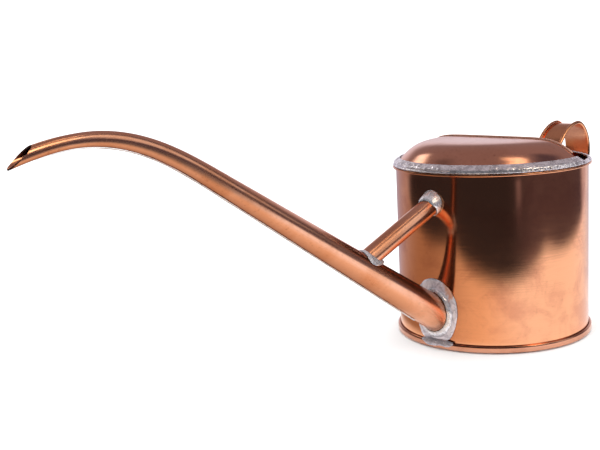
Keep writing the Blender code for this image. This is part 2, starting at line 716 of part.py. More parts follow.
def make_handle():
    """Strap handle with wired edges."""
    frames = strap_frames()
    section, centre_w = strap_section()
    side = Vector((0, 1, 0))
    rings = [[p + side * w + n * h for w, h in section] for p, _, n in frames]
    strap = solid("handle_strap", *capped_rings(rings), COPPER, 0.25, 40)
    cut(strap, cutter("handle_rim_cutter", *drum(RIM_RADIUS + GAP, RIM_LEDGE_Z - 15 * MM, WALL_TOP + 4 * MM)))
    for name, sign in (("handle_wire_left", 1), ("handle_wire_right", -1)):
        rings = []
        for p, t, n in frames:
            c = p + side * (sign * centre_w) + n * STRAP_CURL_RADIUS
            rings.append([c + (side * math.cos(k * math.pi / 3) + n * math.sin(k * math.pi / 3))
                          * STRAP_WIRE_RADIUS for k in range(6)])
        wire = solid(name, *capped_rings(rings), COPPER, 0.3, 60)
        cut(wire, bpy.data.objects["handle_rim_cutter"])


def make_handle_top_solder():
    """Wedge of solder under the strap where it leaves the rim."""
    frames = strap_frames()
    under = GAP + STRAP_SHEET / 2 + 0.1 * MM
    start = RIM_RADIUS + GAP
    line = [p - n * under for p, _, n in frames]
    near = [q for q in line if q.x > start + 0.05 * MM][:1] + [q for q in line if q.x > start + 3.4 * MM][:1]
    a, b = near
    slope = (b.z - a.z) / (b.x - a.x)
    z_top = a.z + (start - a.x) * slope
    reach = 4.2 * MM
    profile = [(start, z_top), (start + reach, z_top + reach * slope),
               (start + reach, z_top + reach * slope - 0.4 * MM),
               (start + 0.5 * reach, z_top + 0.3 * reach * slope - 1.2 * MM),
               (start + 0.4 * MM, z_top - 3.6 * MM), (start, z_top - 3.6 * MM)]
    rings = []
    spread = math.asin((STRAP_HALF_WIDTH - 1.9 * MM) / start)
    for i in range(9):
        angle = spread * (i / 4 - 1)
        drop = start * (1 - math.cos(angle)) * slope    # the strap is straight across, the rim is not
        rings.append([Vector((r * math.cos(angle), r * math.sin(angle), z - drop)) for r, z in profile])
    solid("handle_top_solder", *capped_rings(rings), TIN, 0.3)


def make_handle_bottom_solder():
    """Solder run round the three edges of the strap's foot."""
    half = STRAP_HALF_WIDTH + GAP
    low, high = HANDLE_FOOT_Z - GAP, HANDLE_FOOT_Z + 8.0 * MM
    path = [((half, high), (1, 0)), ((half, low + 4 * MM), (1, 0)), ((half, low), (0.8, -0.8)),
            ((half * 0.5, low), (0, -1)), ((0, low), (0, -1)), ((-half * 0.5, low), (0, -1)),
            ((-half, low), (-0.8, -0.8)), ((-half, low + 4 * MM), (-1, 0)), ((-half, high), (-1, 0))]
    rings = []
    for (y, z), (dy, dz) in path:
        ring = []
        for out, lift in ((0.0, 0.0), (1.3 * MM, 0.0), (2.6 * MM, 0.0), (2.6 * MM, 0.2 * MM),
                          (1.2 * MM, 0.9 * MM), (0.3 * MM, 1.9 * MM), (0.0, 1.9 * MM)):
            yy, zz = y + dy * out, z + dz * out
            radius = BODY_RADIUS + GAP + lift
            ring.append(Vector((math.sqrt(radius**2 - yy**2), yy, zz)))
        rings.append(ring)
    solid("handle_bottom_solder", *capped_rings(rings), TIN, 0.3, 50)


def main():
    """Build the can."""
    clear_scene()
    make_base_plate()
    make_base_seam_solder()
    make_body_wall()
    make_rim_solder()
    make_hood()
    make_mouth_wire()
    make_spout_tube()
    make_spout_seam_solder()
    make_spout_flange()
    make_spout_flange_solder()
    make_flange_foot_solder()
    make_brace_tube()
    make_brace_solder()
    make_handle()
    make_handle_top_solder()
    make_handle_bottom_solder()


main()
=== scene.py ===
"""Looks of a long-reach copper watering can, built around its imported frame.

Every visible piece is drawn again at full quality on the sizes of the frame:
turned and swept sheet with real edges, solder that ran and set in lumps, a
tinned saddle plate, and a strap handle with wired edges. All lengths are in
metres. The spout points along -X, the handle is at +X and the floor is z = 0.
"""

from __future__ import annotations

import logging
import math
from dataclasses import dataclass, field
from enum import Enum
from typing import Callable, Iterable, Sequence

import bmesh
import bpy
from mathutils import Matrix, Vector, noise

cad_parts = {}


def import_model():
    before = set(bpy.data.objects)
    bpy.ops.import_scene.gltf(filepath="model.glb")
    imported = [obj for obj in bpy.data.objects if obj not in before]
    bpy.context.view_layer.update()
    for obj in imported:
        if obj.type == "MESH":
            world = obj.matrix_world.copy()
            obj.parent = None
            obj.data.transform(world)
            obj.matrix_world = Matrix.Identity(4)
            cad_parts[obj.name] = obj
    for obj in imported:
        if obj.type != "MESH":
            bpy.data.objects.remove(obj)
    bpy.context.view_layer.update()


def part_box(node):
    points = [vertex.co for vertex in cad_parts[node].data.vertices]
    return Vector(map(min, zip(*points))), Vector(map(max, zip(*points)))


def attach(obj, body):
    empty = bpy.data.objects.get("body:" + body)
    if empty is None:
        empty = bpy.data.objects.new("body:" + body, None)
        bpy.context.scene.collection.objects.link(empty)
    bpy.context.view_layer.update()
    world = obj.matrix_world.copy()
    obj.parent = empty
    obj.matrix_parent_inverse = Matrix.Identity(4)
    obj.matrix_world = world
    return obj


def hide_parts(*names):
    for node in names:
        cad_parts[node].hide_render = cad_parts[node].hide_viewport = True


LOG = logging.getLogger("watering_can")

MM = 0.001
SIDE = Vector((0.0, 1.0, 0.0))
EDGE_ANGLE = 40.0       # degrees from which an edge is drawn sharp

Colour = tuple[float, float, float]
Ring = list[Vector]
Outline = list[tuple[float, float]]


# ---------------------------------------------------------------- named options
class Grain(Enum):
    """Which way the rubbing marks run on a sheet."""

    ALONG = "along the run of the piece"
    CLOUDY = "no direction"


class Slot(Enum):
    """The record's material slots."""

    BODY = "body_copper"
    HOOD = "hood_copper"
    TUBE = "tube_copper"
    HANDLE = "handle_copper"
    SOLDER = "solder"
    TIN = "tinned_plate"


# ---------------------------------------------------------------- shader graph
class Graph:
    """A material's node tree, with short ways to add what the finishes share."""

    def __init__(self, name: str) -> None:
        """Start an empty material.

        Args:
            name: Name of the material.
        """
        self.material = bpy.data.materials.new(name)
        self.material.use_nodes = True
        self.tree = self.material.node_tree
        self.tree.nodes.clear()
        self.output = self.add("ShaderNodeOutputMaterial")

    def add(self, kind: str, **settings: object) -> bpy.types.Node:
        """Add one node.

        Args:
            kind: Node type.
            **settings: Properties to set on it.

        Returns:
            The new node.
        """
        node = self.tree.nodes.new(kind)
        for key, value in settings.items():
            setattr(node, key, value)
        return node

    def feed(self, socket: bpy.types.NodeSocket, value: object) -> None:
        """Link a socket, or set its constant.

        Args:
            socket: The input to fill.
            value: An output socket, a number or a colour.
        """
        if isinstance(value, bpy.types.NodeSocket):
            self.tree.links.new(value, socket)
        elif isinstance(value, tuple) and len(value) == 3 and socket.type == "RGBA":
            socket.default_value = (*value, 1.0)
        else:
            socket.default_value = value

    def coordinates(self, kind: str = "Object") -> bpy.types.NodeSocket:
        """Give texture coordinates of the named kind."""
        return self.add("ShaderNodeTexCoord").outputs[kind]

    def stretched(self, scale: Colour) -> bpy.types.NodeSocket:
        """Give the sheet's own coordinates, stretched by a scale per axis."""
        node = self.add("ShaderNodeMapping")
        self.feed(node.inputs["Vector"], self.coordinates("UV"))
        node.inputs["Scale"].default_value = scale
        return node.outputs["Vector"]

    def noise(self, where: bpy.types.NodeSocket, scale: float, detail: float = 4.0,
              roughness: float = 0.55, warp: float = 0.0) -> bpy.types.NodeSocket:
        """Add a noise texture.

        Args:
            where: Coordinates.
            scale: Patches per metre.
            detail: Octaves.
            roughness: Weight of the small octaves.
            warp: How much the pattern is twisted.

        Returns:
            The noise value, about 0.5 in the middle.
        """
        node = self.add("ShaderNodeTexNoise")
        self.feed(node.inputs["Vector"], where)
        node.inputs["Scale"].default_value = scale
        node.inputs["Detail"].default_value = detail
        node.inputs["Roughness"].default_value = roughness
        node.inputs["Distortion"].default_value = warp
        return node.outputs["Fac"]

    def span(self, value: object, low: float, high: float, start: float = 0.0,
             end: float = 1.0, smooth: bool = True) -> bpy.types.NodeSocket:
        """Map a value's range onto another, clamped.

        Args:
            value: What to map.
            low: Where the input range starts.
            high: Where it ends.
            start: Output at low.
            end: Output at high.
            smooth: Ease in and out.

        Returns:
            The mapped value.
        """
        node = self.add("ShaderNodeMapRange",
                        interpolation_type="SMOOTHSTEP" if smooth else "LINEAR")
        for key, item in (("Value", value), ("From Min", low), ("From Max", high),
                          ("To Min", start), ("To Max", end)):
            self.feed(node.inputs[key], item)
        return node.outputs["Result"]

    def math(self, operation: str, a: object, b: object = 0.0) -> bpy.types.NodeSocket:
        """Add a math node.

        Args:
            operation: Its operation.
            a: First value.
            b: Second value.

        Returns:
            The result.
        """
        node = self.add("ShaderNodeMath", operation=operation)
        self.feed(node.inputs[0], a)
        self.feed(node.inputs[1], b)
        return node.outputs[0]

    def mix(self, a: object, b: object, factor: object) -> bpy.types.NodeSocket:
        """Mix two colours.

        Args:
            a: Colour at factor 0.
            b: Colour at factor 1.
            factor: Share of b.

        Returns:
            The mixed colour.
        """
        node = self.add("ShaderNodeMix", data_type="RGBA")
        self.feed(node.inputs["Factor"], factor)
        self.feed(node.inputs[6], a)
        self.feed(node.inputs[7], b)
        return node.outputs[2]

    def bump(self, height: bpy.types.NodeSocket, depth: float,
             under: bpy.types.NodeSocket | None = None) -> bpy.types.NodeSocket:
        """Add relief.

        Args:
            height: The relief, from 0 to 1.
            depth: Its depth in metres.
            under: A coarser relief that it lies on.

        Returns:
            The normal.
        """
        node = self.add("ShaderNodeBump")
        node.inputs["Distance"].default_value = depth
        self.feed(node.inputs["Height"], height)
        if under is not None:
            self.feed(node.inputs["Normal"], under)
        return node.outputs["Normal"]

    def metal(self, colour: object, roughness: object, normal: object,
              bare: float = 1.0) -> bpy.types.Material:
        """Close the graph with a metal.

        Args:
            colour: Base colour.
            roughness: Roughness.
            normal: Relief.
            bare: 1 for bare metal, less under a dull film.

        Returns:
            The material.
        """
        node = self.add("ShaderNodeBsdfPrincipled")
        node.inputs["Metallic"].default_value = bare
        self.feed(node.inputs["Base Color"], colour)
        self.feed(node.inputs["Roughness"], roughness)
        self.feed(node.inputs["Normal"], normal)
        self.feed(self.output.inputs["Surface"], node.outputs[0])
        return self.material


# ---------------------------------------------------------------- finishes
@dataclass(frozen=True)
class CopperFinish:
    """Copper that was polished once and handled since."""

    tint: Colour
    tarnish: Colour
    stain: Colour
    gloss: tuple[float, float]
    grain: Grain
    cloud_size: float = 30 * MM
    tarnish_share: float = 0.6
    stain_share: float = 0.35
    grain_depth: float = 0.004 * MM
    ripple_depth: float = 0.10 * MM
    ripple_size: float = 22 * MM
    spot_size: float = 1.6 * MM
    bare: float = 1.0

    def material(self, name: str) -> bpy.types.Material:
        """Build the finish.

        Args:
            name: Name of the material.

        Returns:
            The material, with tarnish clouds, stains, rubbing marks and ripples.
        """
        g = Graph(name)
        place = g.coordinates()
        clouds = g.noise(place, 1 / self.cloud_size, 5.0, 0.6, 0.4)
        spots = g.noise(place, 1 / self.spot_size, 3.0, 0.6)
        marks = g.noise(self._grain_place(g, place), 1.0, 3.0, 0.6)
        old = g.span(clouds, 0.42, 0.66, 0.0, self.tarnish_share)
        colour = g.mix(self.tint, self.tarnish, old)
        speck = g.math("MULTIPLY", g.span(spots, 0.58, 0.72), g.span(clouds, 0.35, 0.6))
        colour = g.mix(colour, self.stain, g.math("MULTIPLY", speck, self.stain_share))
        colour = g.mix(colour, self.tarnish, g.span(marks, 0.5, 0.75, 0.0, 0.22))
        low, high = self.gloss
        worn = g.math("ADD", g.math("MULTIPLY", clouds, 0.55), g.math("MULTIPLY", marks, 0.45))
        roughness = g.span(worn, 0.33, 0.67, low, high)
        ripples = g.noise(place, 1 / self.ripple_size, 2.0, 0.45)
        normal = g.bump(ripples, self.ripple_depth)
        normal = g.bump(marks, self.grain_depth, normal)
        return g.metal(colour, roughness, normal, self.bare)

    def _grain_place(self, g: Graph, place: bpy.types.NodeSocket) -> bpy.types.NodeSocket:
        """Give the coordinates of the rubbing marks.

        Args:
            g: The graph.
            place: The piece's coordinates.

        Returns:
            Coordinates stretched along the marks.
        """
        fine, long, even = 1500.0, 36.0, 380.0       # marks per metre
        if self.grain is Grain.ALONG:
            return g.stretched((fine, long, 1.0))
        node = g.add("ShaderNodeMapping")
        g.feed(node.inputs["Vector"], place)
        node.inputs["Scale"].default_value = (even, even, even)
        return node.outputs["Vector"]


@dataclass(frozen=True)
class SolderFinish:
    """Soft solder, bright where it ran and dull where it set."""

    bright: Colour = (0.93, 0.92, 0.96)
    dull: Colour = (0.62, 0.61, 0.66)
    flux: Colour = (0.30, 0.20, 0.15)
    gloss: tuple[float, float] = (0.16, 0.38)
    lump_size: float = 2.2 * MM
    lump_depth: float = 0.35 * MM
    dull_share: float = 0.7
    bare: float = 0.82
    speck_share: float = 0.7

    def material(self, name: str) -> bpy.types.Material:
        """Build the finish.

        Args:
            name: Name of the material.

        Returns:
            The material, with lumps, dull streaks and specks of old flux.
        """
        g = Graph(name)
        place = g.coordinates()
        streaks = g.noise(place, 230.0, 4.0, 0.6, 0.8)
        specks = g.noise(place, 1500.0, 2.0, 0.6)
        colour = g.mix(self.bright, self.dull, g.span(streaks, 0.42, 0.68, 0.0, self.dull_share))
        colour = g.mix(colour, self.flux, g.span(specks, 0.58, 0.70, 0.0, self.speck_share))
        low, high = self.gloss
        roughness = g.span(streaks, 0.32, 0.7, low, high)
        lumps = g.noise(place, 1 / self.lump_size, 2.0, 0.5, 0.3)
        normal = g.bump(lumps, self.lump_depth)
        normal = g.bump(specks, 0.04 * MM, normal)
        return g.metal(colour, roughness, normal, self.bare)


@dataclass(frozen=True)
class TinnedFinish:
    """A wiped coat of tin on copper, matt and grainy, thin in places."""

    tin: Colour = (0.95, 0.91, 0.98)
    grey: Colour = (0.46, 0.43, 0.49)
    copper: Colour = (0.80, 0.45, 0.33)
    bare: float = 0.72

    def material(self, name: str) -> bpy.types.Material:
        """Build the finish.

        Args:
            name: Name of the material.

        Returns:
            The material, with grain and with copper that shows through.
        """
        g = Graph(name)
        place = g.coordinates()
        grit = g.noise(place, 2600.0, 3.0, 0.65)
        wipe = g.noise(g.stretched((330.0, 190.0, 1.0)), 1.0, 5.0, 0.7, 0.8)
        thin = g.noise(place, 95.0, 4.0, 0.6, 0.6)
        colour = g.mix(self.tin, self.grey, g.span(wipe, 0.38, 0.66, 0.0, 0.85))
        split = g.add("ShaderNodeSeparateXYZ")
        g.feed(split.inputs[0], place)
        height = g.span(split.outputs["Z"], 24 * MM, 42 * MM)
        flank = g.span(split.outputs["Y"], 2 * MM, -14 * MM)
        bare = g.math("MULTIPLY", height, flank)
        bare = g.span(g.math("ADD", thin, g.math("MULTIPLY", bare, 0.34)), 0.60, 0.78)
        colour = g.mix(colour, self.copper, bare)
        roughness = g.span(wipe, 0.3, 0.7, 0.34, 0.52)
        normal = g.bump(wipe, 0.35 * MM)
        normal = g.bump(grit, 0.09 * MM, normal)
        return g.metal(colour, roughness, normal, self.bare)


class Shelf:
    """The finishes in use, made once and handed to the pieces."""

    def __init__(self) -> None:
        """Mix every finish."""
        warm, brown, dark = (0.94, 0.44, 0.235), (0.80, 0.34, 0.17), (0.30, 0.10, 0.05)
        self.wall = CopperFinish(warm, (0.72, 0.30, 0.17), dark, (0.08, 0.16), Grain.ALONG,
                                 cloud_size=22 * MM, tarnish_share=0.75, stain_share=0.2,
                                 grain_depth=0.006 * MM,
                                 ripple_depth=0.05 * MM).material("wall_copper")
        # painted shade: the foot's copper is a darker copy of the wall's, standing in for the
        # darker surroundings its bead reflects
        self.foot = CopperFinish((0.70, 0.34, 0.22), (0.50, 0.22, 0.14), dark, (0.10, 0.2),
                                 Grain.ALONG, ripple_depth=0.05 * MM).material("foot_copper")
        self.hood = CopperFinish((0.88, 0.46, 0.32), (0.76, 0.37, 0.24), dark, (0.10, 0.18),
                                 Grain.CLOUDY, ripple_depth=0.14 * MM,
                                 ripple_size=15 * MM).material("hood_copper_sheet")
        self.lip = CopperFinish((0.72, 0.38, 0.28), (0.50, 0.25, 0.18), dark, (0.24, 0.4),
                                Grain.ALONG, ripple_size=6 * MM, ripple_depth=0.08 * MM,
                                bare=0.7).material("lip_copper")
        self.tube = CopperFinish((0.94, 0.49, 0.32), brown, dark, (0.16, 0.28), Grain.ALONG,
                                 ripple_size=14 * MM,
                                 ripple_depth=0.06 * MM).material("tube_copper_sheet")
        self.strap = CopperFinish((0.93, 0.45, 0.24), (0.74, 0.32, 0.16), dark, (0.14, 0.26),
                                  Grain.ALONG, ripple_size=8 * MM, ripple_depth=0.12 * MM,
                                  stain_share=0.4).material("strap_copper")
        self.solder = SolderFinish().material("soft_solder")
        self.rim = SolderFinish(bright=(0.98, 0.95, 1.0), dull=(0.34, 0.32, 0.36),
                                gloss=(0.12, 0.30), lump_size=2.8 * MM, lump_depth=0.7 * MM,
                                bare=0.9).material("rim_solder_run")
        self.dull_solder = SolderFinish(bright=(0.56, 0.53, 0.58), dull=(0.34, 0.32, 0.36),
                                        gloss=(0.24, 0.42),
                                        lump_depth=0.35 * MM).material("dull_solder")
        self.inner = SolderFinish(bright=(0.5, 0.5, 0.52),
                                  gloss=(0.3, 0.5)).material("inner_solder")
        self.tin = TinnedFinish().material("wiped_tin")


# ---------------------------------------------------------------- mesh making
def cumulative(points: Sequence[Vector]) -> list[float]:
    """Give the running length along a row of points."""
    total, out = 0.0, [0.0]
    for a, b in zip(points, points[1:]):
        total += (b - a).length
        out.append(total)
    return out


def put(name: str, verts: Sequence[Vector], faces: Sequence[Sequence[int]],
        uvs: Sequence[tuple[float, float]] | None, material: bpy.types.Material,
        sharp: float = EDGE_ANGLE) -> bpy.types.Object:
    """Make an object out of points and faces.

    Args:
        name: Name of the piece.
        verts: Its points.
        faces: Its faces.
        uvs: One sheet coordinate per face corner, in metres, or None.
        material: Its finish.
        sharp: Angle in degrees from which an edge is drawn sharp.

    Returns:
        The object.
    """
    mesh = bpy.data.meshes.new(name)
    mesh.from_pydata([tuple(v) for v in verts], [], faces)
    if uvs is not None:
        layer = mesh.uv_layers.new(name="sheet")
        layer.data.foreach_set("uv", [c for uv in uvs for c in uv])
    mesh.update()
    mesh.materials.append(material)
    obj = bpy.data.objects.new(name, mesh)
    bpy.context.scene.collection.objects.link(obj)
    smooth(obj, sharp)
    return obj


def smooth(obj: bpy.types.Object, sharp: float = EDGE_ANGLE) -> None:
    """Point the faces outward and shade smooth up to an angle in degrees."""
    work = bmesh.new()
    work.from_mesh(obj.data)
    bmesh.ops.recalc_face_normals(work, faces=work.faces[:])
    work.to_mesh(obj.data)
    work.free()
    obj.data.shade_smooth()
    obj.data.set_sharp_from_angle(angle=math.radians(sharp))


def loft(name: str, rings: Sequence[Ring], material: bpy.types.Material, *,
         endless: bool = False, capped: bool = False,
         sharp: float = EDGE_ANGLE) -> bpy.types.Object:
    """Join rings of points into a skin with sheet coordinates in metres.

    Args:
        name: Name of the piece.
        rings: Rows of equal length, each of which closes on itself.
        material: Its finish.
        endless: The last ring joins the first.
        capped: The end rings are filled.
        sharp: Angle in degrees from which an edge is drawn sharp.

    Returns:
        The object.
    """
    n, count = len(rings[0]), len(rings)
    middle = rings[count // 2]
    across = cumulative([*middle, middle[0]])
    centres = [sum(ring, Vector()) / n for ring in rings]
    along = cumulative(centres + ([centres[0]] if endless else []))
    faces: list[tuple[int, ...]] = []
    uvs: list[tuple[float, float]] = []
    for i in range(count if endless else count - 1):
        j = (i + 1) % count
        for k in range(n):
            m = (k + 1) % n
            faces.append((i * n + k, i * n + m, j * n + m, j * n + k))
            uvs += [(across[k], along[i]), (across[k + 1], along[i]),
                    (across[k + 1], along[i + 1]), (across[k], along[i + 1])]
    if capped:
        for row in (0, count - 1):
            faces.append(tuple(row * n + k for k in range(n)))
            uvs += [(across[k], along[row if row == 0 else -1]) for k in range(n)]
    return put(name, [p for ring in rings for p in ring], faces, uvs, material, sharp)


def spun(name: str, outline: Callable[[float], Outline], material: bpy.types.Material,
         segments: int = 288, sharp: float = EDGE_ANGLE) -> bpy.types.Object:
    """Spin a closed outline round the upright axis.

    Args:
        name: Name of the piece.
        outline: Gives the outline, as radius and height, at an angle.
        material: Its finish.
        segments: Steps round the circle.
        sharp: Angle in degrees from which an edge is drawn sharp.

    Returns:
        The object.
    """
    rings = []
    for i in range(segments):
        a = 2 * math.pi * i / segments
        rings.append([Vector((r * math.cos(a), r * math.sin(a), z)) for r, z in outline(a)])
    return loft(name, rings, material, endless=True, sharp=sharp)


def rounded(points: Sequence[tuple[float, float, float]], steps: int = 5) -> Outline:
    """Round the corners of a closed outline.

    Args:
        points: Corners as (x, z, rounding).
        steps: Points per rounded corner, less one.

    Returns:
        The rounded outline.
    """
    out: Outline = []
    count = len(points)
    for i, (x, z, soft) in enumerate(points):
        here = Vector((x, z))
        if soft <= 0:
            out.append((x, z))
            continue
        before = Vector(points[i - 1][:2]) - here
        after = Vector(points[(i + 1) % count][:2]) - here
        a = here + before.normalized() * min(soft, before.length * 0.48)
        b = here + after.normalized() * min(soft, after.length * 0.48)
        for k in range(steps + 1):
            s = k / steps
            p = a * (1 - s) ** 2 + here * 2 * s * (1 - s) + b * s * s
            out.append((p.x, p.y))
    return out


def baked(obj: bpy.types.Object) -> bpy.types.Object:
    """Turn an object's modifiers into plain mesh and give it back."""
    view = bpy.context.evaluated_depsgraph_get()
    mesh = bpy.data.meshes.new_from_object(obj.evaluated_get(view), preserve_all_data_layers=True,
                                           depsgraph=view)
    obj.modifiers.clear()
    obj.data = mesh
    return obj


def carved(obj: bpy.types.Object, tool: bpy.types.Object,
           sharp: float = EDGE_ANGLE) -> bpy.types.Object:
    """Cut an object with a tool that is thrown away.

    Args:
        obj: The piece.
        tool: The closed shape to take away from it.
        sharp: Angle in degrees from which an edge is drawn sharp.

    Returns:
        The piece.
    """
    cut = obj.modifiers.new("cut", "BOOLEAN")
    cut.operation, cut.solver, cut.object = "DIFFERENCE", "EXACT", tool
    baked(obj)
    bpy.data.objects.remove(tool, do_unlink=True)
    smooth(obj, sharp)
    return obj


def sliced(obj: bpy.types.Object, point: Vector, normal: Vector) -> None:
    """Remove all of a mesh on the normal's side of a plane."""
    work = bmesh.new()
    work.from_mesh(obj.data)
    bmesh.ops.bisect_plane(work, geom=work.verts[:] + work.edges[:] + work.faces[:],
                           plane_co=point, plane_no=normal, clear_outer=True)
    work.to_mesh(obj.data)
    work.free()


def thickened(obj: bpy.types.Object, sheet: float) -> bpy.types.Object:
    """Give an open skin the thickness of its sheet, inward.

    Args:
        obj: The skin.
        sheet: Thickness.

    Returns:
        The piece.
    """
    shell = obj.modifiers.new("sheet", "SOLIDIFY")
    shell.thickness, shell.offset, shell.use_even_offset = sheet, -1.0, True
    baked(obj)
    obj.data.shade_smooth()
    obj.data.set_sharp_from_angle(angle=math.radians(EDGE_ANGLE))
    return obj


def drum(radius: float, low: float, high: float) -> bpy.types.Object:
    """Make an upright cylinder to cut with.

    Args:
        radius: Its radius.
        low: Height of its underside.
        high: Height of its top.

    Returns:
        The cutting tool.
    """
    segments = 192
    rings = [[Vector((radius * math.cos(a), radius * math.sin(a), z)) for a in
              (2 * math.pi * k / segments for k in range(segments))] for z in (low, high)]
    return loft("cutting_drum", rings, bpy.data.materials[0], capped=True)


def lump(p: Vector, size: float, seed: float = 0.0) -> float:
    """Give a smooth random value between about -1 and 1 for lumps of a size."""
    q = p / size + Vector((seed, seed * 1.7, seed * 0.3))
    return noise.noise(q) + 0.5 * noise.noise(q * 2.1)


def ease(value: float, low: float, high: float) -> float:
    """Rise smoothly from 0 at low to 1 at high."""
    s = min(1.0, max(0.0, (value - low) / (high - low)))
    return s * s * (3 - 2 * s)


# ---------------------------------------------------------------- shared sizes
@dataclass
class Sizes:
    """Sizes that several sub-assemblies share, most of them read off the frame."""

    gap: float = 0.3 * MM
    sheet: float = 0.7 * MM
    rim_reach: float = 1.9 * MM
    ledge_height: float = 1.3 * MM
    rim_band: float = 2.6 * MM
    hood_skirt: float = 7.0 * MM
    hood_rise: float = 12.2 * MM
    dome_flat: float = 7.7
    dome_flare: float = 1.6
    rim_radius: float = field(init=False)
    wall_top: float = field(init=False)
    foot_height: float = field(init=False)

    def __post_init__(self) -> None:
        """Read the frame."""
        self.rim_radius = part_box("rim_solder")[1][0]
        self.wall_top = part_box("body_wall")[1][2]
        self.foot_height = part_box("base_plate")[1][2]

    @property
    def body_radius(self) -> float:
        """Outside of the rolled wall."""
        return self.rim_radius - self.rim_reach

    @property
    def wall_inside(self) -> float:
        """Inside of the rolled wall."""
        return self.body_radius - self.sheet

    @property
    def ledge_z(self) -> float:
        """Underside of the hemmed ledge."""
        return self.wall_top - self.rim_band

    @property
    def hood_radius(self) -> float:
        """Outside of the hood's skirt."""
        return self.wall_inside - self.gap

    @property
    def spring_z(self) -> float:
        """Height at which the hood's dome starts."""
        return self.wall_top + 1.9 * MM

    def dome_z(self, r: float) -> float:
        """Give the dome's height at a distance from the axis."""
        q = min(1.0, r / self.hood_radius)
        return self.spring_z + self.hood_rise * (1.0 - q ** self.dome_flat) ** self.dome_flare


def around(direction: Vector, phi: float) -> Vector:
    """Give a unit vector square to a direction in the XZ plane; 90 degrees is up."""
    up = SIDE.cross(direction)
    if up.z < 0:
        up = -up
    return SIDE * math.cos(phi) + up * math.sin(phi)


def bisected(inside: Callable[[float], bool], low: float, high: float) -> float:
    """Find where a condition that holds at low stops holding.

    Args:
        inside: The condition.
        low: A value at which it holds.
        high: A value at which it doesn't.

    Returns:
        The border.
    """
    for _ in range(46):
        middle = (low + high) / 2
        if inside(middle):
            low = middle
        else:
            high = middle
    return low


@dataclass
class SpoutLine:
    """Centre line of the spout: a straight run, then a bend that eases off at the tip."""

    sizes: Sizes
    underside: float = 9.6 * MM
    rise: float = math.radians(32.3)
    straight: float = 192.0 * MM
    bend: float = 116.5 * MM
    root_radius: float = 10.4 * MM
    tip_radius: float = 3.2 * MM
    taper: float = 0.026
    knees: tuple[float, float] = (50.0 * MM, 75.0 * MM)
    curvature: tuple[float, float, float] = (9.85, 12.0, 3.2)

    @property
    def root_z(self) -> float:
        """Height at which the centre line meets the wall."""
        return self.underside + self.root_radius / math.cos(self.rise)

    @property
    def length(self) -> float:
        """Length from the wall to the tip."""
        return self.straight + self.bend

    def at(self, t: float) -> tuple[Vector, Vector, float]:
        """Follow the line.

        Args:
            t: Length from the wall.

        Returns:
            The centre, the direction and the outside radius there.
        """
        run = min(t, self.straight)
        angle = self.rise
        p = Vector((-self.sizes.body_radius - run * math.cos(angle), 0.0,
                    self.root_z + run * math.sin(angle)))
        done, rest = 0.0, t - self.straight
        while done < rest - 1e-9:
            step = min(1.0 * MM, rest - done)
            turn = self._curvature(done + step / 2) * step
            half = angle - turn / 2
            p += Vector((-math.cos(half), 0.0, math.sin(half))) * step
            angle -= turn
            done += step
        radius = max(self.root_radius - self.taper * t, self.tip_radius)
        return p, Vector((-math.cos(angle), 0.0, math.sin(angle))), radius

    def _curvature(self, run: float) -> float:
        """Give the curvature at a length into the bend."""
        (near, far), (one, two, three) = self.knees, self.curvature
        if run < near:
            return one * run / near
        if run < far:
            return one + (two - one) * (run - near) / (far - near)
        return two + (three - two) * (run - far) / (self.bend - far)

    def ring(self, t: float, sides: int) -> Ring:
        """Give a ring on the outside of the tube."""
        p, d, r = self.at(t)
        return [p + around(d, 2 * math.pi * k / sides - math.pi / 2) * r for k in range(sides)]

    def outside(self, p: Vector) -> float:
        """Give a point's distance outside the straight run."""
        start, d, _ = self.at(0.0)
        t = (p - start).dot(d)
        return (p - start - d * t).length - self.at(min(max(t, 0.0), self.straight))[2]

    def wall_crossing(self, phi: float, rho: float, radius: float) -> float:
        """Give where a line along the spout leaves an upright cylinder."""
        start, d, _ = self.at(0.0)
        return wall_crossing(start, d, phi, rho, radius)


def wall_crossing(start: Vector, d: Vector, phi: float, rho: float, radius: float) -> float:
    """Find where a line beside an axis leaves an upright cylinder.

    Args:
        start: Start of the axis.
        d: Its direction.
        phi: Angle of the line round the axis.
        rho: Its distance from the axis.
        radius: Radius of the cylinder.

    Returns:
        The length along the axis.
    """
    offset = around(d, phi) * rho

    def inside(t: float) -> bool:
        """Tell whether the line is still inside the cylinder."""
        p = start + d * t + offset
        return math.hypot(p.x, p.y) < radius
    return bisected(inside, -20 * MM, 40 * MM)


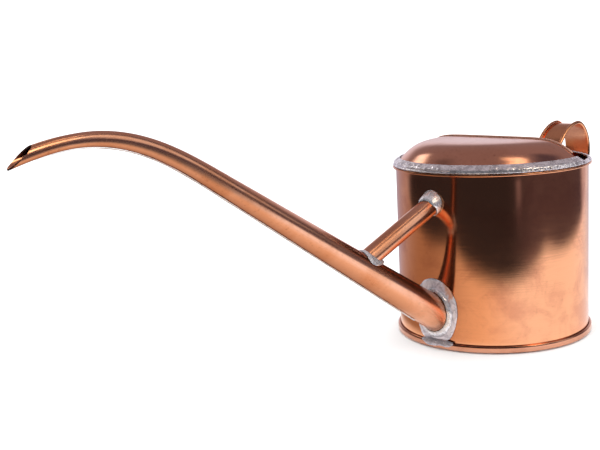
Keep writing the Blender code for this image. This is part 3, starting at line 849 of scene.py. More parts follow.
def fillet(name: str, start: Vector, d: Vector, radius: float,
           surface: Callable[[float, float], float], legs: tuple[float, float],
           material: bpy.types.Material, *, gap: float, seed: float, sides: int = 176,
           rough: float = 0.3, lean: float = 0.0) -> bpy.types.Object:
    """Run solder round the foot of a tube.

    Args:
        name: Name of the piece.
        start: A point on the tube's axis.
        d: Direction away from the surface.
        radius: Outside of the tube.
        surface: Length along the axis at which the surface lies, for an angle
            and a distance from the axis.
        legs: Height on the tube and width on the surface.
        material: Its finish.
        gap: Clearance to the tube.
        seed: Which lumps.
        sides: Steps round the tube.
        rough: How uneven the run is, 0 to 1.
        lean: How much of the solder sits on top instead of below, 0 to 1.

    Returns:
        The object.
    """
    base = radius + gap
    steps = 9
    rings = []
    for i in range(sides):
        phi = 2 * math.pi * i / sides
        out = around(d, phi)
        spot = start + out * base
        heap = lean * math.sin(phi)
        high = legs[0] * (1 + heap) * (1 - rough * (0.5 + 0.5 * lump(spot, 4.5 * MM, seed)))
        wide = legs[1] * (1 + 0.7 * heap)
        wide *= 1 - rough * (0.5 + 0.5 * lump(spot, 3.2 * MM, seed + 9))
        ring = [start + d * surface(phi, base + wide * k / 3) + out * (base + wide * k / 3)
                for k in range(4)]
        for k in range(steps + 1):
            s = k / steps
            rho = base + wide * (1 - s ** 1.25)
            lift = high * (0.94 * s ** 1.15 + 0.30 * math.sin(math.pi * s)) + 0.2 * MM * (1 - s)
            lift += 0.14 * MM * math.sin(math.pi * s) * lump(spot + d * lift, 1.6 * MM, seed + 3)
            ring.append(start + d * (surface(phi, rho) + lift) + out * rho)
        rings.append(ring)
    return loft(name, rings, material, endless=True, sharp=60)


# ---------------------------------------------------------------- sub-assemblies
class Assembly:
    """Common work of the sub-assemblies."""

    def __init__(self) -> None:
        """Start with no pieces."""
        self.pieces: list[bpy.types.Object] = []

    def keep(self, piece: bpy.types.Object, node: str, slot: Slot) -> bpy.types.Object:
        """Fix a piece to the can in place of its frame node.

        Args:
            piece: The piece.
            node: The frame node that it stands for.
            slot: The record's slot for the piece; not used.

        Returns:
            The piece.
        """
        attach(piece, "root")
        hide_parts(node)
        self.pieces.append(piece)
        LOG.info("%s stands for %s, %d faces", piece.name, node, len(piece.data.polygons))
        return piece


@dataclass
class Tank:
    """Bottom plate, rolled wall and the solder at both of the wall's ends."""

    sizes: Sizes
    spout: SpoutLine
    shelf: Shelf
    hem_sheet: float = 0.6 * MM
    inner_run: float = 3.0 * MM
    ridge_from: float = math.radians(122)
    ridge_to: float = math.radians(196)
    lap: float = 1.8 * MM
    hood_end_x: float = 7.7 * MM
    spout_sheet: float = 0.8 * MM
    assembly: Assembly = field(default_factory=Assembly)

    def build(self) -> None:
        """Make and fix the four pieces."""
        keep = self.assembly.keep
        keep(self.bottom(), "base_plate", Slot.BODY)
        keep(self.bottom_seam(), "base_seam_solder", Slot.SOLDER)
        keep(self.wall(), "body_wall", Slot.BODY)
        keep(self.rim(), "rim_solder", Slot.SOLDER)

    def bottom(self) -> bpy.types.Object:
        """Make the pan whose edge is hemmed round the foot of the wall."""
        s = self.sizes
        inner, outer, top = s.body_radius + s.gap, s.rim_radius - 0.1 * MM, s.foot_height
        outline = rounded([
            (0.2 * MM, 0, 0), (30 * MM, 0.0, 0), (inner - 1.2 * MM, 0, 0.5 * MM),
            (inner + self.hem_sheet * 0.8, 0.7 * MM, 0.5 * MM),
            (inner + self.hem_sheet, top - 2.0 * MM, 0.2 * MM),
            (outer - self.hem_sheet, top - 2.0 * MM, 0.1 * MM),
            (outer - self.hem_sheet, 1.3 * MM, 0.2 * MM), (outer, 0.9 * MM, 0.6 * MM),
            (outer, top - 0.4 * MM, 1.2 * MM), (inner, top, 0.4 * MM),
            (inner, s.sheet, 0.3 * MM), (30 * MM, s.sheet, 0), (0.2 * MM, s.sheet, 0)])
        return spun("bottom_pan", lambda _: outline, self.shelf.foot)

    def bottom_seam(self) -> bpy.types.Object:
        """Make the solder that seals wall and bottom from inside."""
        s = self.sizes
        r, z, run = s.wall_inside - s.gap, s.sheet + s.gap, self.inner_run

        def outline(a: float) -> Outline:
            """Give the run's section at an angle."""
            spot = Vector((math.cos(a), math.sin(a), 0)) * r
            fat = 0.85 + 0.12 * lump(spot, 7 * MM, 2)
            points = [(r, z), (r, z + run * fat)]
            for k in range(1, 7):
                q = k / 7
                points.append((r - run * fat * q ** 1.4, z + run * fat * (1 - q) ** 1.4 + 0.1 * MM))
            return points + [(r - run * fat, z)]
        return spun("bottom_seam_run", outline, self.shelf.inner, 220, 60)

    def wall(self) -> bpy.types.Object:
        """Make the rolled wall with its hemmed ledge and its port."""
        s = self.sizes
        low, ledge, reach = s.sheet + s.gap, s.ledge_z, s.rim_radius
        climb = [(s.body_radius, low + (ledge - low) * k / 24, 0.0) for k in range(1, 24)]
        outline = rounded([
            (s.wall_inside, low, 0), (s.body_radius, low, 0), *climb,
            (s.body_radius, ledge, 0.25 * MM), (reach, ledge, 0.6 * MM),
            (reach, ledge + s.ledge_height, 0.6 * MM),
            (s.body_radius, ledge + s.ledge_height, 0.2 * MM),
            (s.body_radius, s.wall_top, 0.1 * MM), (s.wall_inside, s.wall_top, 0.1 * MM)])
        wall = spun("rolled_wall", lambda _: outline, self.shelf.wall, 320)
        start, d, r = self.spout.at(0.0)
        port = r - self.spout_sheet
        rings = [[start + d * t + around(d, 2 * math.pi * k / 64) * port for k in range(64)]
                 for t in (-1.4 * r, 1.6 * r)]
        return carved(wall, loft("port_punch", rings, self.shelf.wall, capped=True))

    def rim(self) -> bpy.types.Object:
        """Make the solder on the rim: sloped up onto the hood, low where there is none."""
        s = self.sizes
        z0, top = s.ledge_z + s.ledge_height + s.gap, s.wall_top + s.gap
        inner, edge = s.body_radius + s.gap, s.rim_radius
        lap, foot = s.hood_radius - self.lap, s.hood_radius - 0.5 * MM
        over = s.dome_z(lap - 0.3 * MM) + 1.4 * s.gap

        def outline(a: float) -> Outline:
            """Give the run's section at an angle."""
            spot = Vector((math.cos(a), math.sin(a), 0)) * edge
            ridged = ease(a, self.ridge_from, self.ridge_from + 0.12)
            ridged *= 1 - ease(a, self.ridge_to - 0.12, self.ridge_to)
            sag = 0.20 * MM * (0.5 + 0.5 * lump(spot, 8 * MM, 4)) * (1 - 0.6 * ridged)
            fine = 0.16 * MM * (0.5 + 0.5 * lump(spot, 3 * MM, 7))
            notch = (0.25 + 0.75 * ridged) * MM + fine * (1 - ridged)
            lift = 0.12 * MM * lump(spot, 5 * MM, 11)
            hooded = [
                (inner, z0, 0), (edge - 0.4 * MM - sag, z0, 0.25 * MM),
                (edge - fine * 0.4, z0 + 0.6 * MM, 0.3 * MM),
                (edge - notch, z0 + 1.4 * MM + lift, 0.3 * MM),
                (edge - 0.35 * MM - sag, z0 + 2.1 * MM + lift, 0.4 * MM),
                (edge - 1.0 * MM - sag, z0 + 2.8 * MM + lift, 0.5 * MM),
                (s.body_radius - 0.1 * MM, z0 + 3.5 * MM + lift * 0.8, 0.6 * MM),
                (lap + fine * 2, over + 0.4 * MM + lift * 0.3, 0.3 * MM),
                (lap - 0.3 * MM + fine * 2, over, 0.1 * MM),
                (foot, s.dome_z(foot) + 1.2 * s.gap, 0), (s.wall_inside, s.spring_z + s.gap, 0),
                (s.wall_inside, top, 0), (inner, top, 0)]
            bare = [
                (inner, z0, 0), (edge - 0.3 * MM - sag * 0.5, z0, 0.2 * MM),
                (edge - fine * 0.4, z0 + 0.4 * MM, 0.2 * MM),
                (edge - 0.1 * MM, z0 + 0.8 * MM, 0.2 * MM),
                (edge - 0.4 * MM, z0 + 1.1 * MM, 0.2 * MM),
                (edge - 0.9 * MM, top + 0.2 * MM + lift * 0.5, 0.3 * MM),
                (s.body_radius - 0.1 * MM, top + 0.5 * MM + lift * 0.5, 0.3 * MM),
                (s.wall_inside + 0.25 * MM, top + 0.5 * MM, 0.1 * MM),
                (s.wall_inside + 0.05 * MM, top + 0.4 * MM, 0.02 * MM),
                (s.wall_inside, top + 0.3 * MM, 0), (s.wall_inside, top + 0.15 * MM, 0),
                (s.wall_inside, top, 0), (inner, top, 0)]
            share = ease(s.hood_radius * math.cos(a) - self.hood_end_x, 0.0, 6 * MM)
            return rounded([tuple(p + (q - p) * share for p, q in zip(high, low))
                            for high, low in zip(hooded, bare)], 4)
        return spun("rim_run", outline, self.shelf.rim, 720, 60)


@dataclass
class Hood:
    """Pressed dome over the front of the tank and the wired lip of its mouth."""

    sizes: Sizes
    shelf: Shelf
    mouth_top_x: float = 2.3 * MM
    mouth_end_x: float = 7.7 * MM
    wire_radius: float = 0.8 * MM
    wire_clear: float = 3.2 * MM
    assembly: Assembly = field(default_factory=Assembly)

    def build(self) -> None:
        """Make and fix the two pieces."""
        self.assembly.keep(self.dome(), "hood", Slot.HOOD)
        self.assembly.keep(self.lip(), "mouth_wire", Slot.HOOD)

    def mouth(self) -> tuple[Vector, Vector, Vector]:
        """Give the slanted cut: a point of it, its normal, and its downward direction."""
        top = Vector((self.mouth_top_x, 0.0, self.sizes.spring_z + self.sizes.hood_rise))
        along = (Vector((self.mouth_end_x, 0.0, self.sizes.spring_z)) - top).normalized()
        return top, Vector((-along.z, 0.0, along.x)), along

    def dome(self) -> bpy.types.Object:
        """Make the dome and the skirt that goes down inside the wall."""
        s = self.sizes
        rows = [s.hood_radius * (1 - (1 - k / 60) ** 1.5) for k in range(61)]
        profile = [(max(r, 0.05 * MM), s.dome_z(r)) for r in rows]
        profile += [(s.hood_radius, s.spring_z - s.hood_skirt * k / 4) for k in range(1, 5)]
        count = 288
        rings = [[Vector((r * math.cos(a), r * math.sin(a), z)) for a in
                  (2 * math.pi * k / count for k in range(count))] for r, z in profile]
        skin = loft("pressed_hood", rings, self.shelf.hood)
        top, normal, _ = self.mouth()
        sliced(skin, top, normal)
        return thickened(skin, s.sheet)

    def lip(self) -> bpy.types.Object:
        """Make the wire along the cut edge."""
        s = self.sizes
        top, normal, along = self.mouth()
        mid_r, mid_rise = s.hood_radius - s.sheet / 2, s.hood_rise - s.sheet / 2

        def width(a: float) -> float:
            """Give the squared half-width of the cut edge at a length down the cut."""
            p = top + along * a
            h = min(max((p.z - s.spring_z) / mid_rise, 0.0), 1.0)
            share = (1.0 - h ** (1 / s.dome_flare)) ** (1 / s.dome_flat)
            return (mid_r * share) ** 2 - p.x * p.x

        last = (top.z - s.spring_z - self.wire_clear) / -along.z
        first = bisected(lambda a: width(a) <= 0, -5 * MM, 12 * MM)
        count = 120
        line = []
        for i in range(count + 1):
            u = 2 * i / count - 1
            a = first + (last - first) * u * u
            p = top + along * a
            line.append(Vector((p.x, math.copysign(math.sqrt(max(width(a), 0.0)), u), p.z)))
        rings = []
        for i, p in enumerate(line):
            t = (line[min(i + 1, count)] - line[max(i - 1, 0)]).normalized()
            n = (normal - t * normal.dot(t)).normalized()
            w = t.cross(n)
            c = p + normal * (s.gap + self.wire_radius)
            rings.append([c + (n * math.cos(k * math.pi / 10) + w * math.sin(k * math.pi / 10))
                          * self.wire_radius for k in range(20)])
        return loft("lip_wire", rings, self.shelf.lip, capped=True)


@dataclass
class Spout:
    """Tapered tube, the solder along its seam, its saddle plate and its solder."""

    sizes: Sizes
    line: SpoutLine
    shelf: Shelf
    sheet: float = 0.8 * MM
    lip_back: float = 0.7 * MM
    cut: float = math.radians(24.0)
    plate_sheet: float = 0.7 * MM
    foot_bulge: float = 0.45
    drip_half_angle: float = math.radians(12.5)
    seam_start: float = 17 * MM
    seam_stop: float = 14 * MM
    assembly: Assembly = field(default_factory=Assembly)

    def build(self) -> None:
        """Make and fix the five pieces."""
        keep = self.assembly.keep
        keep(self.tube(), "spout_tube", Slot.TUBE)
        keep(self.seam(), "spout_seam_solder", Slot.SOLDER)
        keep(self.plate(), "spout_flange", Slot.TIN)
        keep(self.collar(), "spout_flange_solder", Slot.SOLDER)
        keep(self.foot_run(), "flange_foot_solder", Slot.SOLDER)

    def tube(self) -> bpy.types.Object:
        """Make the tube, seated on the wall and cut on the slant at its tip."""
        line, sides = self.line, 80
        start, d, r = line.at(0.0)
        seat = self.sizes.body_radius + self.sizes.gap
        clear = 32 * MM
        first = line.ring(clear, sides)
        rings = []
        for i in range(10):
            ring = []
            for k in range(sides):
                phi = 2 * math.pi * k / sides - math.pi / 2
                foot = line.wall_crossing(phi, r, seat)
                p = start + d * foot + around(d, phi) * r
                ring.append(p.lerp(first[k], i / 10))
            rings.append(ring)
        count = 170
        rings += [line.ring(clear + (line.length - clear) * i / count, sides)
                  for i in range(count + 1)]
        tube = loft("spout_tube_sheet", rings, self.shelf.tube)
        p, d, r = line.at(line.length - self.lip_back)
        down = around(d, -math.pi / 2)
        sliced(tube, p + down * r, d * math.sin(self.cut) - down * math.cos(self.cut))
        return thickened(tube, self.sheet)

    def seam(self) -> bpy.types.Object:
        """Make the run of solder along the tube's underside."""
        count = 420
        rings = []
        for i in range(count + 1):
            t = self.seam_start + (self.line.length - self.seam_start - self.seam_stop) * i / count
            p, d, r = self.line.at(t)
            base = r + self.sizes.gap
            fat = 0.82 + 0.25 * lump(p, 9 * MM, 5)
            fat *= 0.25 + 0.75 * ease(self.line.length - self.seam_stop - t, 0.0, 45 * MM)
            half = min(1.1 * MM, 0.45 * r) * min(1.0, fat + 0.1)
            high = min(0.5, 0.42 * fat + 0.05 * lump(p, 2.5 * MM, 8)) * MM
            ring = []
            for k in range(11):
                q = k / 5 - 1
                lift = max(high * (1 - q * q), 0.02 * MM)
                ring.append(p + around(d, q * half / base - math.pi / 2) * (base + lift))
            ring.append(p + around(d, -math.pi / 2) * base)
            rings.append(ring)
        return loft("spout_seam_run", rings, self.shelf.solder, capped=True, sharp=60)

    def plate(self) -> bpy.types.Object:
        """Make the saddle plate, with a rolled-over outer edge."""
        s = self.sizes
        start, d, r = self.line.at(0.0)
        low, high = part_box("spout_flange")
        middle, tall, wide = (low[2] + high[2]) / 2, (high[2] - low[2]) / 2, high[1]
        hole = r + s.gap + 0.05 * MM
        steps, sides = 16, 200
        rings = []
        for i in range(sides):
            phi = 2 * math.pi * i / sides
            ring = []
            for radius, order in ((s.body_radius + s.gap, 1),
                                  (s.body_radius + s.gap + self.plate_sheet, -1)):
                p = start + d * self.line.wall_crossing(phi, hole, radius) + around(d, phi) * hole
                edge = math.atan2((p.z - middle) / tall, p.y / wide)
                across, up = math.cos(edge), math.sin(edge)
                bulge = 1.0 if up > 0 else self.foot_bulge ** (up * up)
                frayed = 0.25 * MM * (lump(p, 3.5 * MM, 91) - 1.0) * ease(up, -0.6, -0.2)
                far = Vector(((wide + frayed) * math.copysign(abs(across) ** bulge, across),
                              middle + (tall + frayed) * up))
                row = []
                for k in range(steps + 1):
                    q = k / steps
                    y, z = p.y + (far.x - p.y) * q, p.z + (far.y - p.z) * q
                    here = radius
                    if order < 0:
                        here -= 0.5 * self.plate_sheet * ease(q, 0.90, 1.0)
                        dent = 0.10 * MM * lump(Vector((y, z, 0)), 6 * MM, 3)
                        here += dent * (1 - ease(q, 0.8, 1.0))
                    row.append(Vector((-math.sqrt(here ** 2 - y ** 2), y, z)))
                ring += row if order > 0 else list(reversed(row))
            rings.append(ring)
        return loft("saddle_plate", rings, self.shelf.tin, endless=True, sharp=50)

    def collar(self) -> bpy.types.Object:
        """Make the bright fillet between the tube and its saddle plate."""
        start, d, r = self.line.at(0.0)
        face = self.sizes.body_radius + 2 * self.sizes.gap + self.plate_sheet

        def surface(phi: float, rho: float) -> float:
            """Give the plate's place along the tube."""
            return self.line.wall_crossing(phi, rho, face)
        return fillet("saddle_fillet", start, d, r, surface, (2.6 * MM, 2.4 * MM),
                      self.shelf.solder, gap=self.sizes.gap, seed=1.0, sides=220)

    def foot_run(self) -> bpy.types.Object:
        """Make the solder that ran off the plate and over the foot of the wall."""
        s = self.sizes
        plate = s.body_radius + 2 * s.gap + self.plate_sheet
        foot, hem = s.rim_radius - 0.1 * MM + s.gap, s.foot_height + s.gap
        steps = 90
        rings = []
        for i in range(steps + 1):
            share = 2 * i / steps - 1
            angle = math.pi + self.drip_half_angle * (0.14 + 0.86 * share)
            spot = Vector((math.cos(angle), math.sin(angle), 0)) * foot
            thin = 1 - 0.85 * ease(abs(share) + 0.10 * lump(spot, 4 * MM, 77), 0.60, 1.0)
            wave = 0.20 * MM * lump(spot, 3.0 * MM, 71)
            low = hem - (3.0 * MM + 0.7 * MM * lump(spot, 4 * MM, 73)) * (0.35 + 0.65 * thin)
            fat = max(0.50 * MM * thin + wave * 0.4, 0.08 * MM)
            outline = rounded([
                (foot, low, 0), (foot + 0.6 * fat, low + 0.05 * MM, 0.1 * MM),
                (foot + fat, low + 0.9 * MM * thin, 0.4 * MM),
                (foot + fat * 0.8, hem - 1.2 * MM, 0.6 * MM),
                (plate + 0.9 * MM * thin, hem + (0.1 + 0.5 * thin) * MM + wave * thin, 0.4 * MM),
                (plate + 0.15 * MM, hem + (0.3 + 1.0 * thin) * MM + wave * thin, 0.1 * MM),
                (plate, hem + (0.2 + 1.0 * thin) * MM + wave * thin, 0), (plate, hem, 0),
                (foot, hem - 0.2 * MM, 0)], 4)
            rings.append([Vector((r * math.cos(angle), r * math.sin(angle), z))
                          for r, z in outline])
        return loft("plate_foot_run", rings, self.shelf.dull_solder, capped=True, sharp=60)


@dataclass
class Brace:
    """Stay between the wall and the spout, with a collar of solder at each end."""

    sizes: Sizes
    line: SpoutLine
    shelf: Shelf
    radius: float = 5.75 * MM
    sheet: float = 0.8 * MM
    below_rim: float = 19.8 * MM
    fall: float = math.radians(21.2)
    assembly: Assembly = field(default_factory=Assembly)

    @property
    def start(self) -> Vector:
        """Where the centre line leaves the wall."""
        return Vector((-self.sizes.body_radius, 0.0, self.sizes.wall_top - self.below_rim))

    @property
    def direction(self) -> Vector:
        """Direction from the wall to the spout."""
        return Vector((-math.cos(self.fall), 0.0, -math.sin(self.fall)))

    def build(self) -> None:
        """Make and fix the three pieces."""
        self.assembly.keep(self.tube(), "brace_tube", Slot.TUBE)
        self.assembly.keep(self.wall_collar(), "brace_wall_solder", Slot.SOLDER)
        self.assembly.keep(self.spout_collar(), "brace_spout_solder", Slot.SOLDER)

    def axis_crossing(self) -> float:
        """Give the length at which the centre line crosses the spout's."""
        start, d, _ = self.line.at(0.0)
        across = Vector((-d.z, 0.0, d.x))
        return (start - self.start).dot(across) / self.direction.dot(across)

    def spout_crossing(self, phi: float, rho: float, clear: float) -> float:
        """Give the length at which a line along the brace meets the spout."""
        out = around(self.direction, phi) * rho
        return bisected(lambda t: self.line.outside(self.start + self.direction * t + out) > clear,
                        20 * MM, self.axis_crossing())

    def tube(self) -> bpy.types.Object:
        """Make the stay, saddle-cut at both ends."""
        sides, count, gap = 72, 26, self.sizes.gap
        ends = []
        for k in range(sides):
            phi = 2 * math.pi * k / sides - math.pi / 2
            near = wall_crossing(self.start, self.direction, phi, self.radius,
                                 self.sizes.body_radius + gap)
            ends.append((phi, near, self.spout_crossing(phi, self.radius, gap)))
        rings = [[self.start + self.direction * (near + (far - near) * i / count)
                  + around(self.direction, phi) * self.radius for phi, near, far in ends]
                 for i in range(count + 1)]
        return thickened(loft("stay_tube", rings, self.shelf.tube), self.sheet)

    def wall_collar(self) -> bpy.types.Object:
        """Make the thick collar on the wall."""
        face = self.sizes.body_radius + self.sizes.gap

        def surface(phi: float, rho: float) -> float:
            """Give the wall's place along the stay."""
            return wall_crossing(self.start, self.direction, phi, rho, face)
        return fillet("stay_wall_collar", self.start, self.direction, self.radius, surface,
                      (5.2 * MM, 1.3 * MM), self.shelf.solder, gap=self.sizes.gap, seed=21.0,
                      rough=0.22, lean=0.93)

    def spout_collar(self) -> bpy.types.Object:
        """Make the thin collar on the spout."""
        length = self.spout_crossing(0.0, 0.0, 0.0)
        foot = self.start + self.direction * length

        def surface(phi: float, rho: float) -> float:
            """Give the spout's place along the stay."""
            return length - self.spout_crossing(phi, rho, self.sizes.gap)
        return fillet("stay_spout_collar", foot, -self.direction, self.radius, surface,
                      (2.6 * MM, 2.2 * MM), self.shelf.solder, gap=self.sizes.gap, seed=33.0)


@dataclass
class Handle:
    """Strap handle with wired edges and the solder that holds it."""

    sizes: Sizes
    shelf: Shelf
    half_width: float = 9.5 * MM
    sheet: float = 0.5 * MM
    curl_radius: float = 0.95 * MM
    curl_turn: float = math.radians(230)
    wire_radius: float = 0.38 * MM
    foot_z: float = 30.0 * MM
    reach: float = 43.4 * MM
    rise: float = 14.5 * MM
    assembly: Assembly = field(default_factory=Assembly)

    def build(self) -> None:
        """Make and fix the five pieces."""
        keep = self.assembly.keep
        keep(self.strap(), "handle_strap", Slot.HANDLE)
        keep(self.wire(1), "handle_wire_left", Slot.HANDLE)
        keep(self.wire(-1), "handle_wire_right", Slot.HANDLE)
        keep(self.top_solder(), "handle_top_solder", Slot.SOLDER)
        keep(self.foot_solder(), "handle_bottom_solder", Slot.SOLDER)

    def line(self, count: int) -> list[Vector]:
        """Give the middle line of the strap, from the rim over the grip to its foot.

        Args:
            count: Steps between two shape points.

        Returns:
            Points in the XZ plane.
        """
        s = self.sizes
        far, top = s.body_radius + self.reach, s.wall_top + self.rise
        tab = s.body_radius + s.gap + self.sheet / 2 + 0.15 * MM
        shape = [
            ((s.body_radius - 2.0 * MM, s.ledge_z - 1.2 * MM), (1, 1)),
            ((s.body_radius + 10.5 * MM, top - 10.0 * MM), (1, 1.2)),
            ((s.body_radius + 0.70 * self.reach, top), (1, 0)),
            ((far - 2.2 * MM, top - 8.8 * MM), (0.5, -1)),
            ((far, top - 18.8 * MM), (0, -1)),
            ((far - 5.0 * MM, top - 35.0 * MM), (-0.45, -1)),
            ((far - 23.4 * MM, self.foot_z + 22.0 * MM), (-0.8, -0.9)),
            ((tab + 2.2 * MM, self.foot_z + 12.5 * MM), (-0.8, -0.9)),
            ((tab, self.foot_z + 9.0 * MM), (0, -1)),
            ((tab, self.foot_z), (0, -1)),
        ]
        out = []
        for (p, tp), (q, tq) in zip(shape, shape[1:]):
            a, b = Vector((p[0], 0, p[1])), Vector((q[0], 0, q[1]))
            chord = (b - a).length
            ta = Vector((tp[0], 0, tp[1])).normalized() * chord
            tb = Vector((tq[0], 0, tq[1])).normalized() * chord
            for k in range(count):
                u = k / count
                out.append(a * (2 * u**3 - 3 * u**2 + 1) + ta * (u**3 - 2 * u**2 + u)
                           + b * (3 * u**2 - 2 * u**3) + tb * (u**3 - u**2))
        out.append(Vector((shape[-1][0][0], 0, shape[-1][0][1])))
        return out

    def frames(self, count: int = 14) -> list[tuple[Vector, Vector]]:
        """Give the strap's points, each with its outward side."""
        line = self.line(count)
        out = []
        for i, p in enumerate(line):
            t = (line[min(i + 1, len(line) - 1)] - line[max(i - 1, 0)]).normalized()
            out.append((p, Vector((-t.z, 0, t.x))))
        return out

    def section(self) -> Outline:
        """Give the strap's outline: flat sheet with both edges rolled outward."""
        half, steps = self.sheet / 2, 18
        centre = self.half_width - self.curl_radius - half
        outside, inside = [], []
        for k in range(steps + 1):
            a = -math.pi / 2 + self.curl_turn * k / steps
            for row, rad in ((outside, self.curl_radius + half), (inside, self.curl_radius - half)):
                row.append((centre + rad * math.cos(a), self.curl_radius + rad * math.sin(a)))
        flats = [centre * q for q in (0.8, 0.6, 0.4, 0.2, 0.0)]
        under = [(w, -half) for w in reversed(flats)]
        over = [(w, half) for w in flats]
        right = under + outside + list(reversed(inside)) + over
        left = [(-w, h) for w, h in reversed(right)]
        return right + left[1:-1]

    def rim_drum(self) -> bpy.types.Object:
        """Make the tool that trims the strap against the rim."""
        s = self.sizes
        return drum(s.rim_radius + s.gap, s.ledge_z - 15 * MM, s.wall_top + 4 * MM)

    def strap(self) -> bpy.types.Object:
        """Make the strap."""
        section = self.section()
        rings = [[p + SIDE * w + n * h for w, h in section] for p, n in self.frames()]
        strap = loft("grip_strap", rings, self.shelf.strap, capped=True, sharp=45)
        return carved(strap, self.rim_drum(), 45)

    def wire(self, side: int) -> bpy.types.Object:
        """Make the wire inside one rolled edge; side is 1 for left, -1 for right."""
        centre = side * (self.half_width - self.curl_radius - self.sheet / 2)
        rings = []
        for p, n in self.frames():
            c = p + SIDE * centre + n * self.curl_radius
            rings.append([c + (SIDE * math.cos(k * math.pi / 8) + n * math.sin(k * math.pi / 8))
                          * self.wire_radius for k in range(16)])
        name = "edge_wire_left" if side > 0 else "edge_wire_right"
        return carved(loft(name, rings, self.shelf.lip, capped=True), self.rim_drum())

    def top_solder(self) -> bpy.types.Object:
        """Make the wedge of solder under the strap at the rim."""
        s = self.sizes
        start = s.rim_radius + s.gap
        under = s.gap + self.sheet / 2 + 0.1 * MM
        line = [p - n * under for p, n in self.frames(4)]
        a = next(q for q in line if q.x > start + 0.05 * MM)
        b = next(q for q in line if q.x > start + 3.4 * MM)
        slope = (b.z - a.z) / (b.x - a.x)
        z_top = a.z + (start - a.x) * slope
        spread = math.asin((self.half_width - 1.9 * MM) / start)
        steps = 60
        rings = []
        for i in range(steps + 1):
            angle = spread * (2 * i / steps - 1)
            spot = Vector((math.cos(angle), math.sin(angle), 0)) * start
            fat = 1 - 0.25 * (0.5 + 0.5 * lump(spot, 3 * MM, 41))
            tip = 4.2 * MM * fat
            drop = start * (1 - math.cos(angle)) * slope
            profile = [(start, z_top)]
            profile += [(start + tip * k / 4, z_top + tip * slope * k / 4) for k in range(1, 5)]
            for k in range(9):
                q = k / 8
                out = tip * (1 - q) ** 1.5 + 0.25 * MM * (1 - q)
                profile.append((start + min(out, tip), z_top + tip * slope * (1 - q) ** 1.5
                                - 0.4 * MM - 3.2 * MM * fat * q))
            rings.append([Vector((r * math.cos(angle), r * math.sin(angle), z - drop))
                          for r, z in profile])
        return loft("strap_rim_wedge", rings, self.shelf.solder, capped=True, sharp=60)

    def foot_solder(self) -> bpy.types.Object:
        """Make the run of solder round three sides of the strap's foot."""
        s = self.sizes
        half = self.half_width + s.gap
        low, high = self.foot_z - s.gap, self.foot_z + 8.0 * MM
        soft = 1.4 * MM
        path: list[tuple[float, float, float, float]] = []
        for k in range(25):
            path.append((half, high + (low + soft - high) * k / 24, 1.0, 0.0))
        for k in range(1, 12):
            a = math.pi / 2 * k / 12
            path.append((half - soft * (1 - math.cos(a)), low + soft * (1 - math.sin(a)),
                         math.cos(a), -math.sin(a)))
        across = [((half - soft) * (1 - k / 20), low, 0.0, -1.0) for k in range(21)]
        right = path + across
        left = [(-y, z, -dy, dz) for y, z, dy, dz in reversed(right[:-1])]
        rings = []
        for y, z, dy, dz in right + left:
            spot = Vector((y, z, 0))
            wide = 2.6 * MM * (0.86 + 0.14 * lump(spot, 4 * MM, 51))
            tall = 1.9 * MM * (0.84 + 0.16 * lump(spot, 3 * MM, 57))
            ring = []
            profile = [(0.0, 0.0), (wide / 2, 0.0), (wide, 0.0)]
            for k in range(9):
                q = k / 8
                profile.append((wide * (1 - q ** 1.2), tall * q ** 1.3 + 0.15 * MM * (1 - q)))
            for out, lift in profile:
                yy, zz = y + dy * out, z + dz * out
                radius = s.body_radius + s.gap + lift
                ring.append(Vector((math.sqrt(radius ** 2 - yy ** 2), yy, zz)))
            rings.append(ring)
        return loft("strap_foot_run", rings, self.shelf.solder, capped=True, sharp=60)


# ---------------------------------------------------------------- studio
@dataclass(frozen=True)
class Patch:
    """A soft-edged patch of the surroundings, in degrees round the can and up."""

    azimuth: tuple[float, float]
    height: tuple[float, float]
    colour: Colour
    soft: float = 6.0

    def share(self, azimuth: float, height: float) -> float:
        """Give how much of the patch shows in a direction, 0 to 1."""
        middle = (self.azimuth[0] + self.azimuth[1]) / 2
        aside = abs((azimuth - middle + 180) % 360 - 180)
        half = (self.azimuth[1] - self.azimuth[0]) / 2
        level = (self.height[0] + self.height[1]) / 2
        tall = (self.height[1] - self.height[0]) / 2
        return (ease(half + self.soft / 2 - aside, 0, self.soft)
                * ease(tall + self.soft / 2 - abs(height - level), 0, self.soft))


@dataclass(frozen=True)
class Tone:
    """A colour of the floor that comes in over a span of degrees round the can."""

    colour: Colour
    start: float
    end: float


